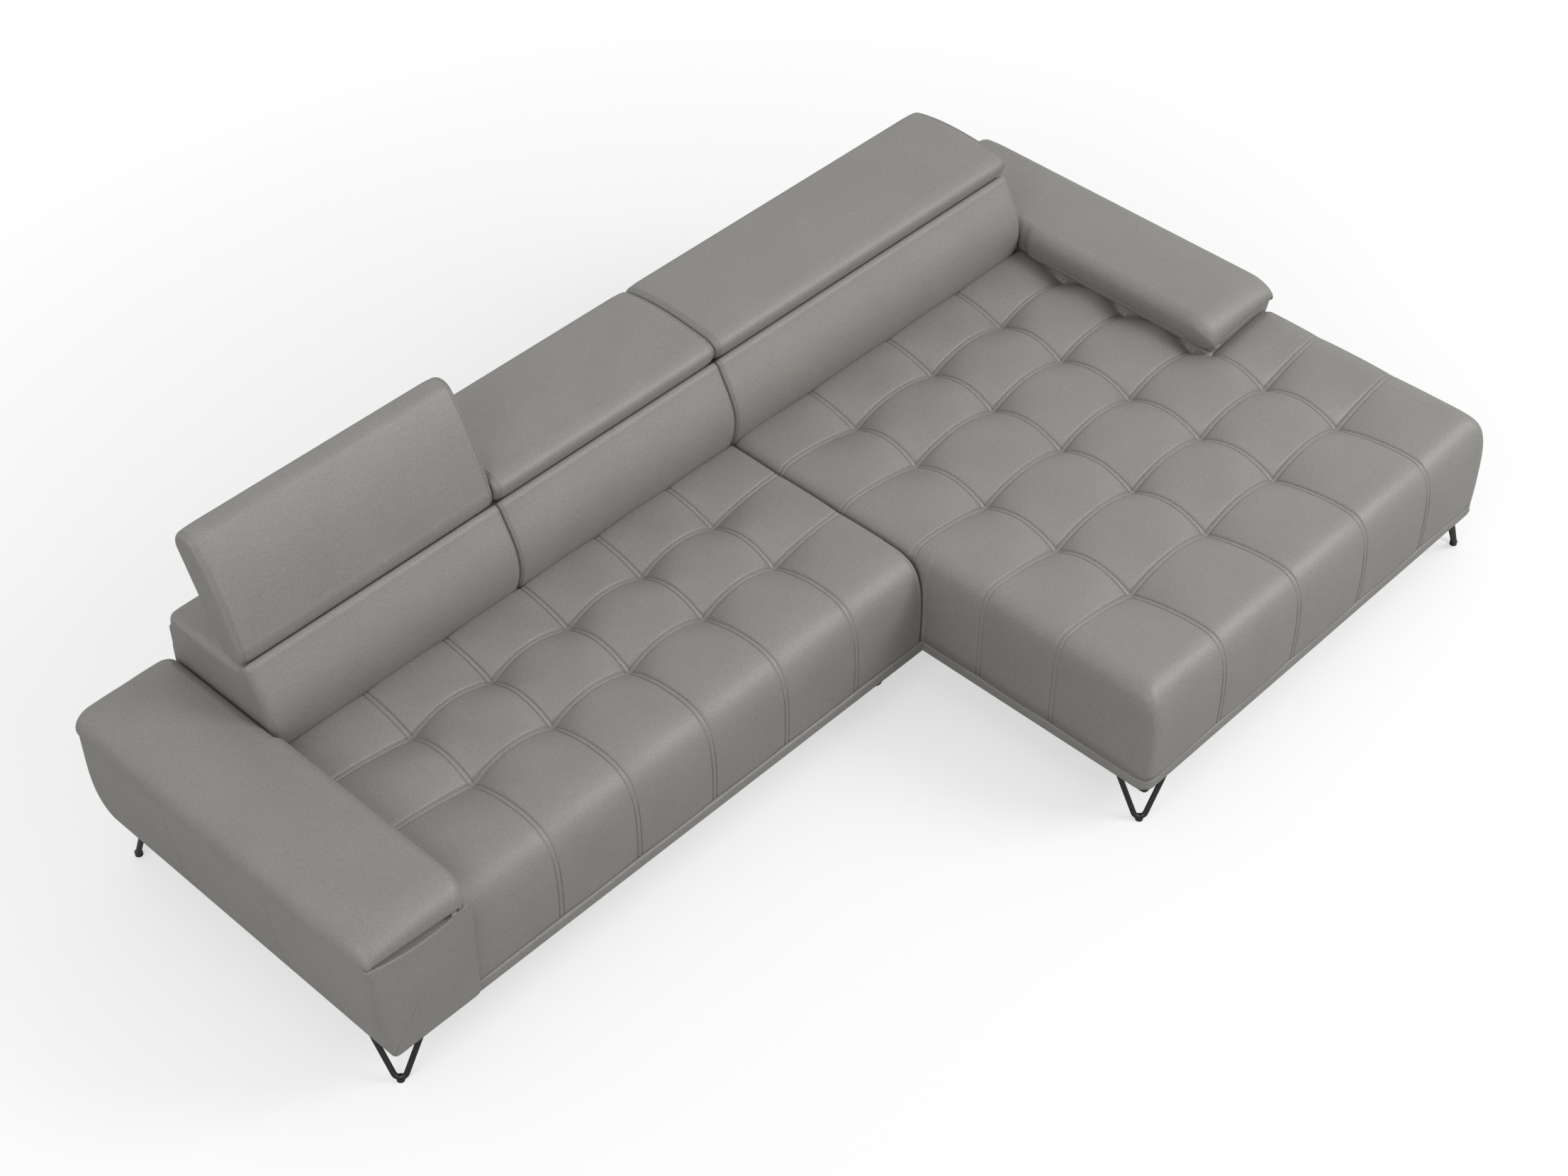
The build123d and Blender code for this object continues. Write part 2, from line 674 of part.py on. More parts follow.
# Cloth under each module, with holes for the screws and the foot studs
arm_cloth = arm_foot - cloth_margin
with BuildPart() as two_seat_dust_cover:
    plan_slab(((-arm_cloth, arm_front + cloth_margin), (-arm_inner, arm_front + cloth_margin),
               (-arm_inner, two_seat_frame_front), (two_seat_right, two_seat_frame_front),
               (two_seat_right, rear - cloth_margin), (-arm_cloth, rear - cloth_margin)),
              plate_top, base_height)
    base_holes(plate_top, base_height, base_height)
finish(two_seat_dust_cover, "two_seat_dust_cover")

with BuildPart() as chaise_dust_cover:
    plan_slab(((chaise_frame_left, rear - cloth_margin), (chaise_frame_left, arm_front),
               (chaise_left + apron, arm_front), (chaise_left + apron, chaise_frame_front),
               (chaise_right - apron, chaise_frame_front), (chaise_right - apron, arm_front),
               (arm_cloth, arm_front), (arm_cloth, rear - cloth_margin)), plate_top, base_height)
    base_holes(plate_top, base_height, base_height)
finish(chaise_dust_cover, "chaise_dust_cover")


def back_frame(low, high, units):
    """Posts on the seat frame, one beside each hinge plate, tied by a rail at the top and one at the foot."""
    hinge_posts = [hinge + hinge_plate / 2 for unit in units for hinge in hinge_places(*back_units[unit][:2])]
    stations = sorted([low, high - post, *hinge_posts])
    for start, end in zip(stations[:], stations[1:]):
        stations += spread(start, end, slat_pitch_most)
    with BuildPart() as frame:
        for x in stations:
            block((x, back_frame_front, deck_height), (x + post, frame_rear, frame_top))
        block((low, frame_rear - top_rail_depth, frame_top - top_rail_height), (high, frame_rear, frame_top))
        block((low, frame_rear - top_rail_depth, deck_height),
              (high, frame_rear, deck_height + top_rail_height))
        for x in hinge_posts:
            for place in hinge_screw_places:
                rod_along_x(x, x + screw_length, screw_radius + running_gap, place,
                            Mode.SUBTRACT, screw_sides)
    return frame


def back_webbing(low, high):
    """Level straps across the front of the back posts, below the hinge necks."""
    with BuildPart() as straps:
        for z in spread(deck_top, bracket_shoulder, webbing_pitch):
            block((low, back_frame_front - webbing_thickness, z - webbing_width / 2),
                  (high, back_frame_front, z + webbing_width / 2))
    return straps


def rear_panel(low, high, foot_low, foot_high):
    """Closing panel behind a module, wider below the back cushions than between their end padding."""
    with BuildPart() as panel:
        block((low, frame_rear, deck_height), (high, rear, frame_top))
        block((foot_low, frame_rear, base_height), (foot_high, rear, deck_height))
    return panel


# Back frames with their straps and rear panels
finish(back_frame(two_seat_pocket, two_seat_right, ("left", "middle")), "two_seat_back_frame")
finish(back_webbing(two_seat_pocket, two_seat_right), "two_seat_back_webbing")
finish(rear_panel(two_seat_pocket, two_seat_right, -arm_inner, two_seat_right), "two_seat_rear_panel")
finish(back_frame(chaise_frame_left, chaise_pocket, ("chaise",)), "chaise_back_frame")
finish(back_webbing(chaise_frame_left, chaise_pocket), "chaise_back_webbing")
finish(rear_panel(chaise_frame_left, chaise_pocket, chaise_frame_left, arm_inner), "chaise_rear_panel")

# Arms: a plywood box with ribs, open below and stepped in above the seat rail, in a padded cover and top pad
box_outer = arm_outer - arm_outer_padding - wall_ease
box_top = arm_split_height - arm_top_padding
box_step = arm_inner + seat_notch + wall_ease
arm_edge = arm_outer - arm_side_ease


def box_profile(wall):
    """Stepped outline of the arm box, or of its hollow when wall is its thickness."""
    return ((arm_inner + wall, base_height), (box_outer - wall, base_height),
            (box_outer - wall, box_top - wall),
            (box_step + wall, box_top - wall), (box_step + wall, deck_height - wall),
            (arm_inner + wall, deck_height - wall))


def arm_prism(side, profile, front, back, mode=Mode.ADD):
    """Extrudes an upright outline of one arm from front to back."""
    with BuildSketch(Plane.XZ.offset(-front)) as outline:
        with BuildLine():
            Polyline(*[(side * x, z) for x, z in profile], close=True)
        make_face()
    extrude(outline.sketch, amount=front - back, mode=mode)


def arm_frame(side):
    """Plywood box of one arm with end boards, ribs, corner blocks for a leg, and bolt holes."""
    with BuildPart() as frame:
        arm_prism(side, box_profile(0), box_front, box_rear)
        for bay_front, bay_rear in zip(bay_ends, bay_ends[1:]):
            front_wall = plywood if bay_front == box_front else plywood / 2
            rear_wall = plywood if bay_rear == box_rear else plywood / 2
            arm_prism(side, box_profile(plywood), bay_front + front_wall, bay_rear - rear_wall, Mode.SUBTRACT)
        for y in (box_front, box_rear - corner_block):
            low, high = sorted((side * (box_outer - corner_block), side * box_outer))
            block((low, y, base_height), (high, y + corner_block, block_top))
        base_holes(base_height, plate_bottom + screw_length, block_top)
        for row in bolt_rows:
            low, high = sorted((side * arm_inner, side * (arm_inner + plywood)))
            rod_along_x(low, high, bolt_radius + running_gap, (row, bolt_height), Mode.SUBTRACT, screw_sides)
    return frame


def arm_cover(side):
    """Padded cover round one arm's box: bellied outside, flat inside, and a notch over the seat's edge."""
    with BuildPart() as cover:
        with BuildSketch(Plane.XZ.offset(-arm_front)) as outline:
            with BuildLine():
                Line((side * arm_inner, base_height), (side * arm_foot, base_height))
                ThreePointArc((side * arm_foot, base_height), (side * arm_edge, arm_side_belly_height),
                              (side * arm_edge, arm_split_height))
                Polyline((side * arm_edge, arm_split_height), (side * arm_inner, arm_split_height),
                         (side * arm_inner, base_height))
            make_face()
        extrude(outline.sketch, amount=arm_front - rear)
        arm_prism(side, box_profile(0), box_front, box_rear, Mode.SUBTRACT)
        low, high = sorted((side * arm_inner, side * (arm_inner + seat_notch)))
        block((low, box_front, deck_height), (high, lumbar_line, arm_split_height), Mode.SUBTRACT)
    return cover


def arm_pad_section(side, y, fall):
    """Upright slice across an arm pad; fall draws it down and in towards the nose."""
    rise = (arm_crown_height - arm_split_height) * (1 - fall)
    foot = arm_split_height + pad_lip * fall / 2
    inner = arm_inner + pad_side * fall
    outer = arm_edge - pad_side * fall
    with BuildSketch(Plane.XZ.offset(-y)) as slice_of_pad:
        with BuildLine():
            Line((side * inner, foot + pad_side * (1 - fall)), (side * inner, foot))
            Line((side * inner, foot), (side * outer, foot))
            Line((side * outer, foot), (side * outer, foot + pad_lip * (1 - fall)))
            ThreePointArc((side * outer, foot + pad_lip * (1 - fall)),
                          (side * (inner + outer) / 2, foot + rise),
                          (side * inner, foot + pad_side * (1 - fall)))
        make_face()
    return slice_of_pad.sketch


def arm_pad(side):
    """Top pad of one arm with a round nose that stands over the front panel."""
    nose = arm_front + pad_nose
    with BuildPart() as pad:
        extrude(arm_pad_section(side, nose, 0), amount=nose - rear)
        loft([arm_pad_section(side, nose - (pad_nose + pad_overhang) * way, fall) for way, fall in pad_steps])
    return pad


for side, name in ((-1, "left"), (1, "right")):
    finish(arm_frame(side), f"{name}_arm_frame")
    finish(arm_cover(side), f"{name}_arm_cover")
    finish(arm_pad(side), f"{name}_arm_pad")

# Legs: a rod bent to a V and welded under a corner plate
bend_drop = leg_bend_radius / math.sin(math.radians(leg_half_angle)) - leg_bend_radius
rod_end_height = plate_bottom + leg_plate_thickness * rod_sink


def leg_rod(corner, outward, mode=Mode.ADD):
    """Rod bent to a V: level along the corner's diagonal, and leaning out towards the floor."""
    tip = Vector(*leg_tip(corner, outward), leg_foot_height)
    lean = leg_splay / math.sqrt(2)
    rise = Vector(-outward[0] * lean, -outward[1] * lean, 1).normalized()
    level = Vector(-outward[1], outward[0], 0).normalized()
    up = (rod_end_height - leg_foot_height) / rise.Z
    half_spread = (up + bend_drop) * math.tan(math.radians(leg_half_angle))
    with BuildLine(Plane(origin=tip, x_dir=level, z_dir=level.cross(rise))) as bent:
        FilletPolyline((-half_spread, up), (0, -bend_drop), (half_spread, up), radius=leg_bend_radius)
    with BuildSketch(Plane(origin=bent.line @ 0, z_dir=bent.line % 0)) as rod:
        Circle(rod_radius)
    sweep(rod.sketch, path=bent.line, mode=mode)


def leg_tip(corner, outward):
    """Place in the plan where a leg meets the floor."""
    return (corner[0] - outward[0] * leg_tip_inset, corner[1] - outward[1] * leg_tip_inset)


for name, (corner, outward) in leg_corners.items():
    with BuildPart() as leg:
        leg_rod(corner, outward)
        with BuildSketch(Plane.XY.offset(plate_bottom)) as plate:
            with BuildLine():
                Polyline(corner, (corner[0] - outward[0] * leg_plate_size, corner[1]),
                         (corner[0], corner[1] - outward[1] * leg_plate_size), close=True)
            make_face()
            fillet(plate.vertices(), leg_plate_round)
        extrude(plate.sketch, amount=leg_plate_thickness)
        for spot in leg_screw_spots(corner, outward):
            upright(screw_radius + running_gap, spot, plate_bottom, plate_top, Mode.SUBTRACT, screw_sides)
    finish(leg, name)

# Cups under the legs, each round the foot of its bent rod
with BuildPart() as leg_glides:
    for corner, outward in leg_corners.values():
        upright(glide_radius, leg_tip(corner, outward), 0, glide_height)
        leg_rod(corner, outward, Mode.SUBTRACT)
finish(leg_glides, "leg_glides")

# Round feet beside the joint, each with a stud up into a corner block
with BuildPart() as support_feet:
    for place in feet_places:
        upright(support_foot_radius, place, 0, plate_top)
        upright(stud_radius, place, plate_top, block_top)
finish(support_feet, "support_feet")

# Plates that tie the two modules under the rails at the joint
with BuildPart() as module_connectors:
    for row in connector_rows:
        block((joint_x - connector_length / 2, row - connector_width / 2, connector_bottom),
              (joint_x + connector_length / 2, row + connector_width / 2, plate_top))
    for spot in connector_spots:
        upright(screw_radius + running_gap, spot, connector_bottom, plate_top, Mode.SUBTRACT, screw_sides)
finish(module_connectors, "module_connectors")

# Screws of the leg plates and the connectors
with BuildPart() as base_screws:
    for spots, seat in ((leg_spots, plate_bottom), (connector_spots, connector_bottom)):
        for spot in spots:
            upright(screw_head_radius, spot, seat - screw_head, seat, sides=screw_sides)
            upright(screw_radius, spot, seat, plate_bottom + screw_length, sides=screw_sides)
finish(base_screws, "base_screws")

# Screws of the fixed hinge plates, into the posts beside them
with BuildPart() as hinge_screws:
    for unit in back_units.values():
        for hinge in hinge_places(*unit[:2]):
            for place in hinge_screw_places:
                start = hinge - hinge_plate / 2
                rod_along_x(start - screw_head, start, screw_head_radius, place, sides=screw_sides)
                rod_along_x(start, start + hinge_plate + screw_length, screw_radius, place, sides=screw_sides)
finish(hinge_screws, "hinge_screws")

# Bolts between the seat frames and the arm boxes
with BuildPart() as arm_bolts:
    for side in (-1, 1):
        for row in bolt_rows:
            for start, end, radius in ((-rail - bolt_head, -rail, bolt_head_radius),
                                       (-rail, plywood, bolt_radius),
                                       (plywood, plywood + bolt_head, bolt_head_radius)):
                low, high = sorted((side * (arm_inner + start), side * (arm_inner + end)))
                rod_along_x(low, high, radius, (row, bolt_height), sides=screw_sides)
finish(arm_bolts, "arm_bolts")
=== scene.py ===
import math

import bmesh
import bpy
import numpy as np
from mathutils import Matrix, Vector


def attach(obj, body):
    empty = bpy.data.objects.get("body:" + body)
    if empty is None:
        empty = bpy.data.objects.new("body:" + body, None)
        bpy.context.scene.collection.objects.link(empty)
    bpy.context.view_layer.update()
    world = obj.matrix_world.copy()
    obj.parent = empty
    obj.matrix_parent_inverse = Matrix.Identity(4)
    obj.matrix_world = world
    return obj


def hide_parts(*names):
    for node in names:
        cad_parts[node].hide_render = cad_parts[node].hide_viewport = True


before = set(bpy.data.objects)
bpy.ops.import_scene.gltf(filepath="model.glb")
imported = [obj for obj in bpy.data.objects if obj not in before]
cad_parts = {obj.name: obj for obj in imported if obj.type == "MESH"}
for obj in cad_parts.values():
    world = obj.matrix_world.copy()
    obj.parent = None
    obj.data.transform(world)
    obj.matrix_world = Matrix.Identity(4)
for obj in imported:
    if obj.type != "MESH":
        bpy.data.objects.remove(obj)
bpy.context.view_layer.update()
scene = bpy.context.scene
scene.view_settings.view_transform = "Standard"

# Studio: a white floor under a white surround, a wide soft lamp at the front right and a fill on the left.
# The camera stands at the front left, above the sofa, where the photograph was taken from.
camera_data = bpy.data.cameras.new("photo_camera")
camera_data.sensor_fit = "HORIZONTAL"
camera_data.sensor_width = 36.0
camera_data.lens = 62.94
camera_data.clip_end = 100.0
camera = bpy.data.objects.new("photo_camera", camera_data)
azimuth, elevation = math.radians(-46.471), math.radians(43.52)
towards_camera = Vector((math.sin(azimuth) * math.cos(elevation), -math.cos(azimuth) * math.cos(elevation),
                         math.sin(elevation)))
camera.location = (-3.638, -3.323, 5.042)
camera.rotation_mode = "QUATERNION"
camera.rotation_quaternion = (-towards_camera).to_track_quat("-Z", "Y")
scene.collection.objects.link(camera)
scene.camera = camera


def soft_lamp(name, place, target, size, power):
    """Square area lamp at a place, turned to face a target point."""
    data = bpy.data.lights.new(name, "AREA")
    data.shape = "SQUARE"
    data.size = size
    data.energy = power
    lamp = bpy.data.objects.new(name, data)
    lamp.location = place
    lamp.rotation_mode = "QUATERNION"
    lamp.rotation_quaternion = (Vector(target) - Vector(place)).to_track_quat("-Z", "Y")
    scene.collection.objects.link(lamp)


soft_lamp("key_softbox", place=(3.4, -4.2, 4.3), target=(0.0, 0.1, 0.4), size=2.8, power=186.0)
soft_lamp("left_softbox", place=(-5.2, -1.2, 3.9), target=(0.0, 0.0, 0.3), size=2.6, power=82.0)

# The surround gives a dim even light. Seen directly, in a reflection or through glass, it is plain white.
surround = bpy.data.worlds.new("white_surround")
surround.use_nodes = True
tree = surround.node_tree
tree.nodes.clear()
light_path = tree.nodes.new("ShaderNodeLightPath")
seen = tree.nodes.new("ShaderNodeMath")
seen.operation = "MAXIMUM"
mirrored = tree.nodes.new("ShaderNodeMath")
mirrored.operation = "MAXIMUM"
dim = tree.nodes.new("ShaderNodeBackground")
white = tree.nodes.new("ShaderNodeBackground")
for tone, strength in ((dim, 0.58), (white, 1.0)):
    tone.inputs["Color"].default_value = (1.0, 1.0, 1.0, 1.0)
    tone.inputs["Strength"].default_value = strength
either = tree.nodes.new("ShaderNodeMixShader")
sky = tree.nodes.new("ShaderNodeOutputWorld")
tree.links.new(light_path.outputs["Is Camera Ray"], seen.inputs[0])
tree.links.new(light_path.outputs["Is Transmission Ray"], seen.inputs[1])
tree.links.new(seen.outputs[0], mirrored.inputs[0])
tree.links.new(light_path.outputs["Is Glossy Ray"], mirrored.inputs[1])
tree.links.new(mirrored.outputs[0], either.inputs[0])
tree.links.new(dim.outputs[0], either.inputs[1])
tree.links.new(white.outputs[0], either.inputs[2])
tree.links.new(either.outputs[0], sky.inputs["Surface"])
scene.world = surround

# The floor keeps the shadow: beside the sofa the camera sees paint and glow in equal parts, and further off
# the glow takes over until the floor is white. Other rays meet a mid grey, so that little light bounces up.
floor_half = 30.0
floor_mesh = bpy.data.meshes.new("floor")
floor_mesh.from_pydata([(-floor_half, -floor_half, 0), (floor_half, -floor_half, 0),
                        (floor_half, floor_half, 0), (-floor_half, floor_half, 0)], [], [(0, 1, 2, 3)])
floor = bpy.data.objects.new("floor", floor_mesh)
floor_paint = bpy.data.materials.new("floor_paint")
floor_paint.use_nodes = True
tree = floor_paint.node_tree
shader = tree.nodes["Principled BSDF"]
light_path = tree.nodes.new("ShaderNodeLightPath")
place = tree.nodes.new("ShaderNodeTexCoord")
away = tree.nodes.new("ShaderNodeVectorMath")
away.operation = "LENGTH"
paling = tree.nodes.new("ShaderNodeMapRange")
paling.interpolation_type = "SMOOTHSTEP"
paling.inputs["From Min"].default_value = 1.7
paling.inputs["From Max"].default_value = 4.4
paling.inputs["To Min"].default_value = 0.55
paling.inputs["To Max"].default_value = 1.0
glow_share = tree.nodes.new("ShaderNodeMath")
glow_share.operation = "MULTIPLY"
glow = tree.nodes.new("ShaderNodeEmission")
glow.inputs["Strength"].default_value = 1.06
paper = tree.nodes.new("ShaderNodeMixShader")
paint_tone = tree.nodes.new("ShaderNodeMapRange")
paint_tone.inputs["To Min"].default_value = 0.5
paint_tone.inputs["To Max"].default_value = 0.96
tree.links.new(place.outputs["Object"], away.inputs[0])
tree.links.new(away.outputs["Value"], paling.inputs["Value"])
tree.links.new(light_path.outputs["Is Camera Ray"], glow_share.inputs[0])
tree.links.new(paling.outputs["Result"], glow_share.inputs[1])
tree.links.new(glow_share.outputs[0], paper.inputs[0])
tree.links.new(shader.outputs[0], paper.inputs[1])
tree.links.new(glow.outputs[0], paper.inputs[2])
tree.links.new(paper.outputs[0], tree.nodes["Material Output"].inputs["Surface"])
tree.links.new(light_path.outputs["Is Camera Ray"], paint_tone.inputs["Value"])
tree.links.new(paint_tone.outputs["Result"], shader.inputs["Base Color"])
shader.inputs["Roughness"].default_value = 0.9
shader.inputs["Specular IOR Level"].default_value = 0.0
floor_mesh.materials.append(floor_paint)
scene.collection.objects.link(floor)


# Timber: the hidden seat, back and arm frames and the headrest boards are sawn beech and plywood.
# They keep their solids from the model and get a pale sawn grain that runs along the boards.
def new_material(name):
    """Empty node material; returns it with its tree and its Principled shader."""
    material = bpy.data.materials.new(name)
    material.use_nodes = True
    return material, material.node_tree, material.node_tree.nodes["Principled BSDF"]


def dress(material, *nodes):
    """Puts a material on parts that keep the shape of their solids."""
    for node in nodes:
        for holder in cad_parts[node].material_slots:
            holder.material = material


def tone_ramp(tree, dark, pale, low=0.0, high=1.0):
    """Colour ramp from a dark tone at a low value to a pale tone at a high value."""
    stops = tree.nodes.new("ShaderNodeValToRGB")
    for stop, (value, tone) in enumerate(((low, dark), (high, pale))):
        stops.color_ramp.elements[stop].position = value
        stops.color_ramp.elements[stop].color = (*tone, 1.0)
    return stops


def shallow_bump(tree, shader, height, strength, distance):
    """Bump from a height output, of one strength and depth in metres, joined to a shader's normal."""
    bump = tree.nodes.new("ShaderNodeBump")
    bump.inputs["Strength"].default_value = strength
    bump.inputs["Distance"].default_value = distance
    tree.links.new(height, bump.inputs["Height"])
    tree.links.new(bump.outputs["Normal"], shader.inputs["Normal"])


timber, tree, shader = new_material("timber")
place = tree.nodes.new("ShaderNodeTexCoord")
along = tree.nodes.new("ShaderNodeMapping")
along.inputs["Scale"].default_value = (3.0, 40.0, 40.0)
rings = tree.nodes.new("ShaderNodeTexNoise")
rings.inputs["Scale"].default_value = 4.0
rings.inputs["Detail"].default_value = 6.0
grain = tone_ramp(tree, (0.42, 0.27, 0.14), (0.66, 0.47, 0.28), 0.32, 0.68)
tree.links.new(place.outputs["Object"], along.inputs["Vector"])
tree.links.new(along.outputs["Vector"], rings.inputs["Vector"])
tree.links.new(rings.outputs["Fac"], grain.inputs["Fac"])
tree.links.new(grain.outputs["Color"], shader.inputs["Base Color"])
shallow_bump(tree, shader, rings.outputs["Fac"], 0.25, 0.0006)
shader.inputs["Roughness"].default_value = 0.72
dress(timber, "two_seat_frame", "chaise_frame", "two_seat_back_frame", "chaise_back_frame", "left_arm_frame",
      "right_arm_frame", "left_headrest_board", "middle_headrest_board", "chaise_headrest_board")

# Straps: elastic webbing under the seats and across the backs, woven in dark yarn.
# The weave is two crossed ribs at the pitch of the yarn.
yarn_pitch = 0.0022
wave_length = 0.314     # length of one rib, in metres, at a texture scale of 1
webbing, tree, shader = new_material("webbing")
place = tree.nodes.new("ShaderNodeTexCoord")
weave = tree.nodes.new("ShaderNodeMath")
weave.operation = "MULTIPLY"
for side, direction in enumerate("XY"):
    ribs = tree.nodes.new("ShaderNodeTexWave")
    ribs.bands_direction = direction
    ribs.inputs["Scale"].default_value = wave_length / yarn_pitch
    tree.links.new(place.outputs["Object"], ribs.inputs["Vector"])
    tree.links.new(ribs.outputs["Fac"], weave.inputs[side])
yarn = tone_ramp(tree, (0.035, 0.032, 0.03), (0.16, 0.15, 0.14))
tree.links.new(weave.outputs[0], yarn.inputs["Fac"])
tree.links.new(yarn.outputs["Color"], shader.inputs["Base Color"])
shallow_bump(tree, shader, weave.outputs[0], 0.6, 0.0008)
shader.inputs["Roughness"].default_value = 0.85
dress(webbing, "two_seat_webbing", "chaise_webbing", "two_seat_back_webbing", "chaise_back_webbing")

# Lining: black non-woven cloth stapled under both modules to keep dust out of the frames.
# Its pressed dimples are a fine dot pattern on a fibrous black.
lining, tree, shader = new_material("lining")
place = tree.nodes.new("ShaderNodeTexCoord")
dimples = tree.nodes.new("ShaderNodeTexVoronoi")
dimples.inputs["Scale"].default_value = 420.0
fibres = tree.nodes.new("ShaderNodeTexNoise")
fibres.inputs["Scale"].default_value = 60.0
fibres.inputs["Detail"].default_value = 8.0
black = tone_ramp(tree, (0.012, 0.012, 0.013), (0.045, 0.045, 0.047))
tree.links.new(place.outputs["Object"], dimples.inputs["Vector"])
tree.links.new(place.outputs["Object"], fibres.inputs["Vector"])
tree.links.new(fibres.outputs["Fac"], black.inputs["Fac"])
tree.links.new(black.outputs["Color"], shader.inputs["Base Color"])
shallow_bump(tree, shader, dimples.outputs["Distance"], 0.4, 0.0004)
shader.inputs["Roughness"].default_value = 0.9
dress(lining, "two_seat_dust_cover", "chaise_dust_cover")

# Leather: one taupe-grey hide covers every padded piece. It is a soft full grain with a satin finish:
# fine pebbles, a cloudy tone and a little more gloss on the tops of the pebbles.
hide_group = bpy.data.node_groups.new("hide_grain", "ShaderNodeTree")
for socket, way, kind in (("Tone", "INPUT", "Color"), ("Pebble", "INPUT", "Float"), ("Color", "OUTPUT", "Color"),
                          ("Roughness", "OUTPUT", "Float"), ("Height", "OUTPUT", "Float")):
    hide_group.interface.new_socket(socket, in_out=way, socket_type=f"NodeSocket{kind}")
entry = hide_group.nodes.new("NodeGroupInput")
outlet = hide_group.nodes.new("NodeGroupOutput")
place = hide_group.nodes.new("ShaderNodeTexCoord")
pebbles = hide_group.nodes.new("ShaderNodeTexVoronoi")
pebbles.feature = "SMOOTH_F1"
pebbles.inputs["Smoothness"].default_value = 0.6
creases = hide_group.nodes.new("ShaderNodeTexNoise")
creases.inputs["Scale"].default_value = 240.0
creases.inputs["Detail"].default_value = 5.0
creases.inputs["Roughness"].default_value = 0.62
clouds = hide_group.nodes.new("ShaderNodeTexNoise")
clouds.inputs["Scale"].default_value = 7.0
clouds.inputs["Detail"].default_value = 3.0
height = hide_group.nodes.new("ShaderNodeMath")
height.operation = "MULTIPLY_ADD"
height.inputs[1].default_value = 0.8
fine_tone = hide_group.nodes.new("ShaderNodeMapRange")
fine_tone.inputs["From Min"].default_value = 0.32
fine_tone.inputs["From Max"].default_value = 0.68
fine_tone.inputs["To Min"].default_value = 0.87
fine_tone.inputs["To Max"].default_value = 1.13
cloud_tone = hide_group.nodes.new("ShaderNodeMapRange")
cloud_tone.inputs["From Min"].default_value = 0.3
cloud_tone.inputs["From Max"].default_value = 0.7
cloud_tone.inputs["To Min"].default_value = 0.965
cloud_tone.inputs["To Max"].default_value = 1.035
both_tones = hide_group.nodes.new("ShaderNodeMath")
both_tones.operation = "MULTIPLY"
tinted = hide_group.nodes.new("ShaderNodeVectorMath")
tinted.operation = "SCALE"
gloss = hide_group.nodes.new("ShaderNodeMapRange")
gloss.inputs["To Min"].default_value = 0.43
gloss.inputs["To Max"].default_value = 0.56
hide_group.links.new(entry.outputs["Pebble"], pebbles.inputs["Scale"])
for texture in (pebbles, creases, clouds):
    hide_group.links.new(place.outputs["Object"], texture.inputs["Vector"])
hide_group.links.new(creases.outputs["Fac"], height.inputs[0])
hide_group.links.new(pebbles.outputs["Distance"], height.inputs[2])
hide_group.links.new(creases.outputs["Fac"], fine_tone.inputs["Value"])
hide_group.links.new(clouds.outputs["Fac"], cloud_tone.inputs["Value"])
hide_group.links.new(fine_tone.outputs["Result"], both_tones.inputs[0])
hide_group.links.new(cloud_tone.outputs["Result"], both_tones.inputs[1])
hide_group.links.new(entry.outputs["Tone"], tinted.inputs[0])
hide_group.links.new(both_tones.outputs[0], tinted.inputs["Scale"])
hide_group.links.new(pebbles.outputs["Distance"], gloss.inputs["Value"])
hide_group.links.new(tinted.outputs["Vector"], outlet.inputs["Color"])
hide_group.links.new(gloss.outputs["Result"], outlet.inputs["Roughness"])
hide_group.links.new(height.outputs[0], outlet.inputs["Height"])

leather, tree, shader = new_material("leather")
hide = tree.nodes.new("ShaderNodeGroup")
hide.node_tree = hide_group
hide.inputs["Tone"].default_value = (0.238, 0.229, 0.212, 1.0)
hide.inputs["Pebble"].default_value = 380.0
tree.links.new(hide.outputs["Color"], shader.inputs["Base Color"])
tree.links.new(hide.outputs["Roughness"], shader.inputs["Roughness"])
shallow_bump(tree, shader, hide.outputs["Height"], 0.5, 0.0009)
shader.inputs["Specular IOR Level"].default_value = 0.72
shader.inputs["Sheen Weight"].default_value = 0.05
shader.inputs["Sheen Roughness"].default_value = 0.5


# Quilted seats: foam under a hide sewn down in squares. Each seam is a flat felled band between two rows of
# stitches; it dips where two bands cross, and the pillows and bands run on over the rolled front edges.
def hide_piece(name, points, faces, body):
    """Makes a closed leather mesh from points in millimetres, faces outwards, and lets it ride on a body."""
    mesh = bpy.data.meshes.new(name)
    mesh.from_pydata((np.asarray(points) * 0.001).tolist(), [], faces)
    mesh.validate()
    piece = bpy.data.objects.new(name, mesh)
    scene.collection.objects.link(piece)
    mesh.materials.append(leather)
    shell = bmesh.new()
    shell.from_mesh(mesh)
    bmesh.ops.remove_doubles(shell, verts=shell.verts, dist=0.00002)
    bmesh.ops.recalc_face_normals(shell, faces=shell.faces)
    shell.to_mesh(mesh)
    shell.free()
    mesh.polygons.foreach_set("use_smooth", np.ones(len(mesh.polygons), dtype=bool))
    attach(piece, body)
    return piece


def grid_faces(rows, columns, wrap=False):
    """Quads of a grid of points numbered row by row; wrap joins the last column to the first."""
    row = np.arange(rows - 1)[:, None]
    column = np.arange(columns if wrap else columns - 1)[None, :]
    ahead = (column + 1) % columns
    quads = np.stack(np.broadcast_arrays(row * columns + column, row * columns + ahead,
                                         (row + 1) * columns + ahead, (row + 1) * columns + column), axis=-1)
    return quads.reshape(-1, 4).tolist()


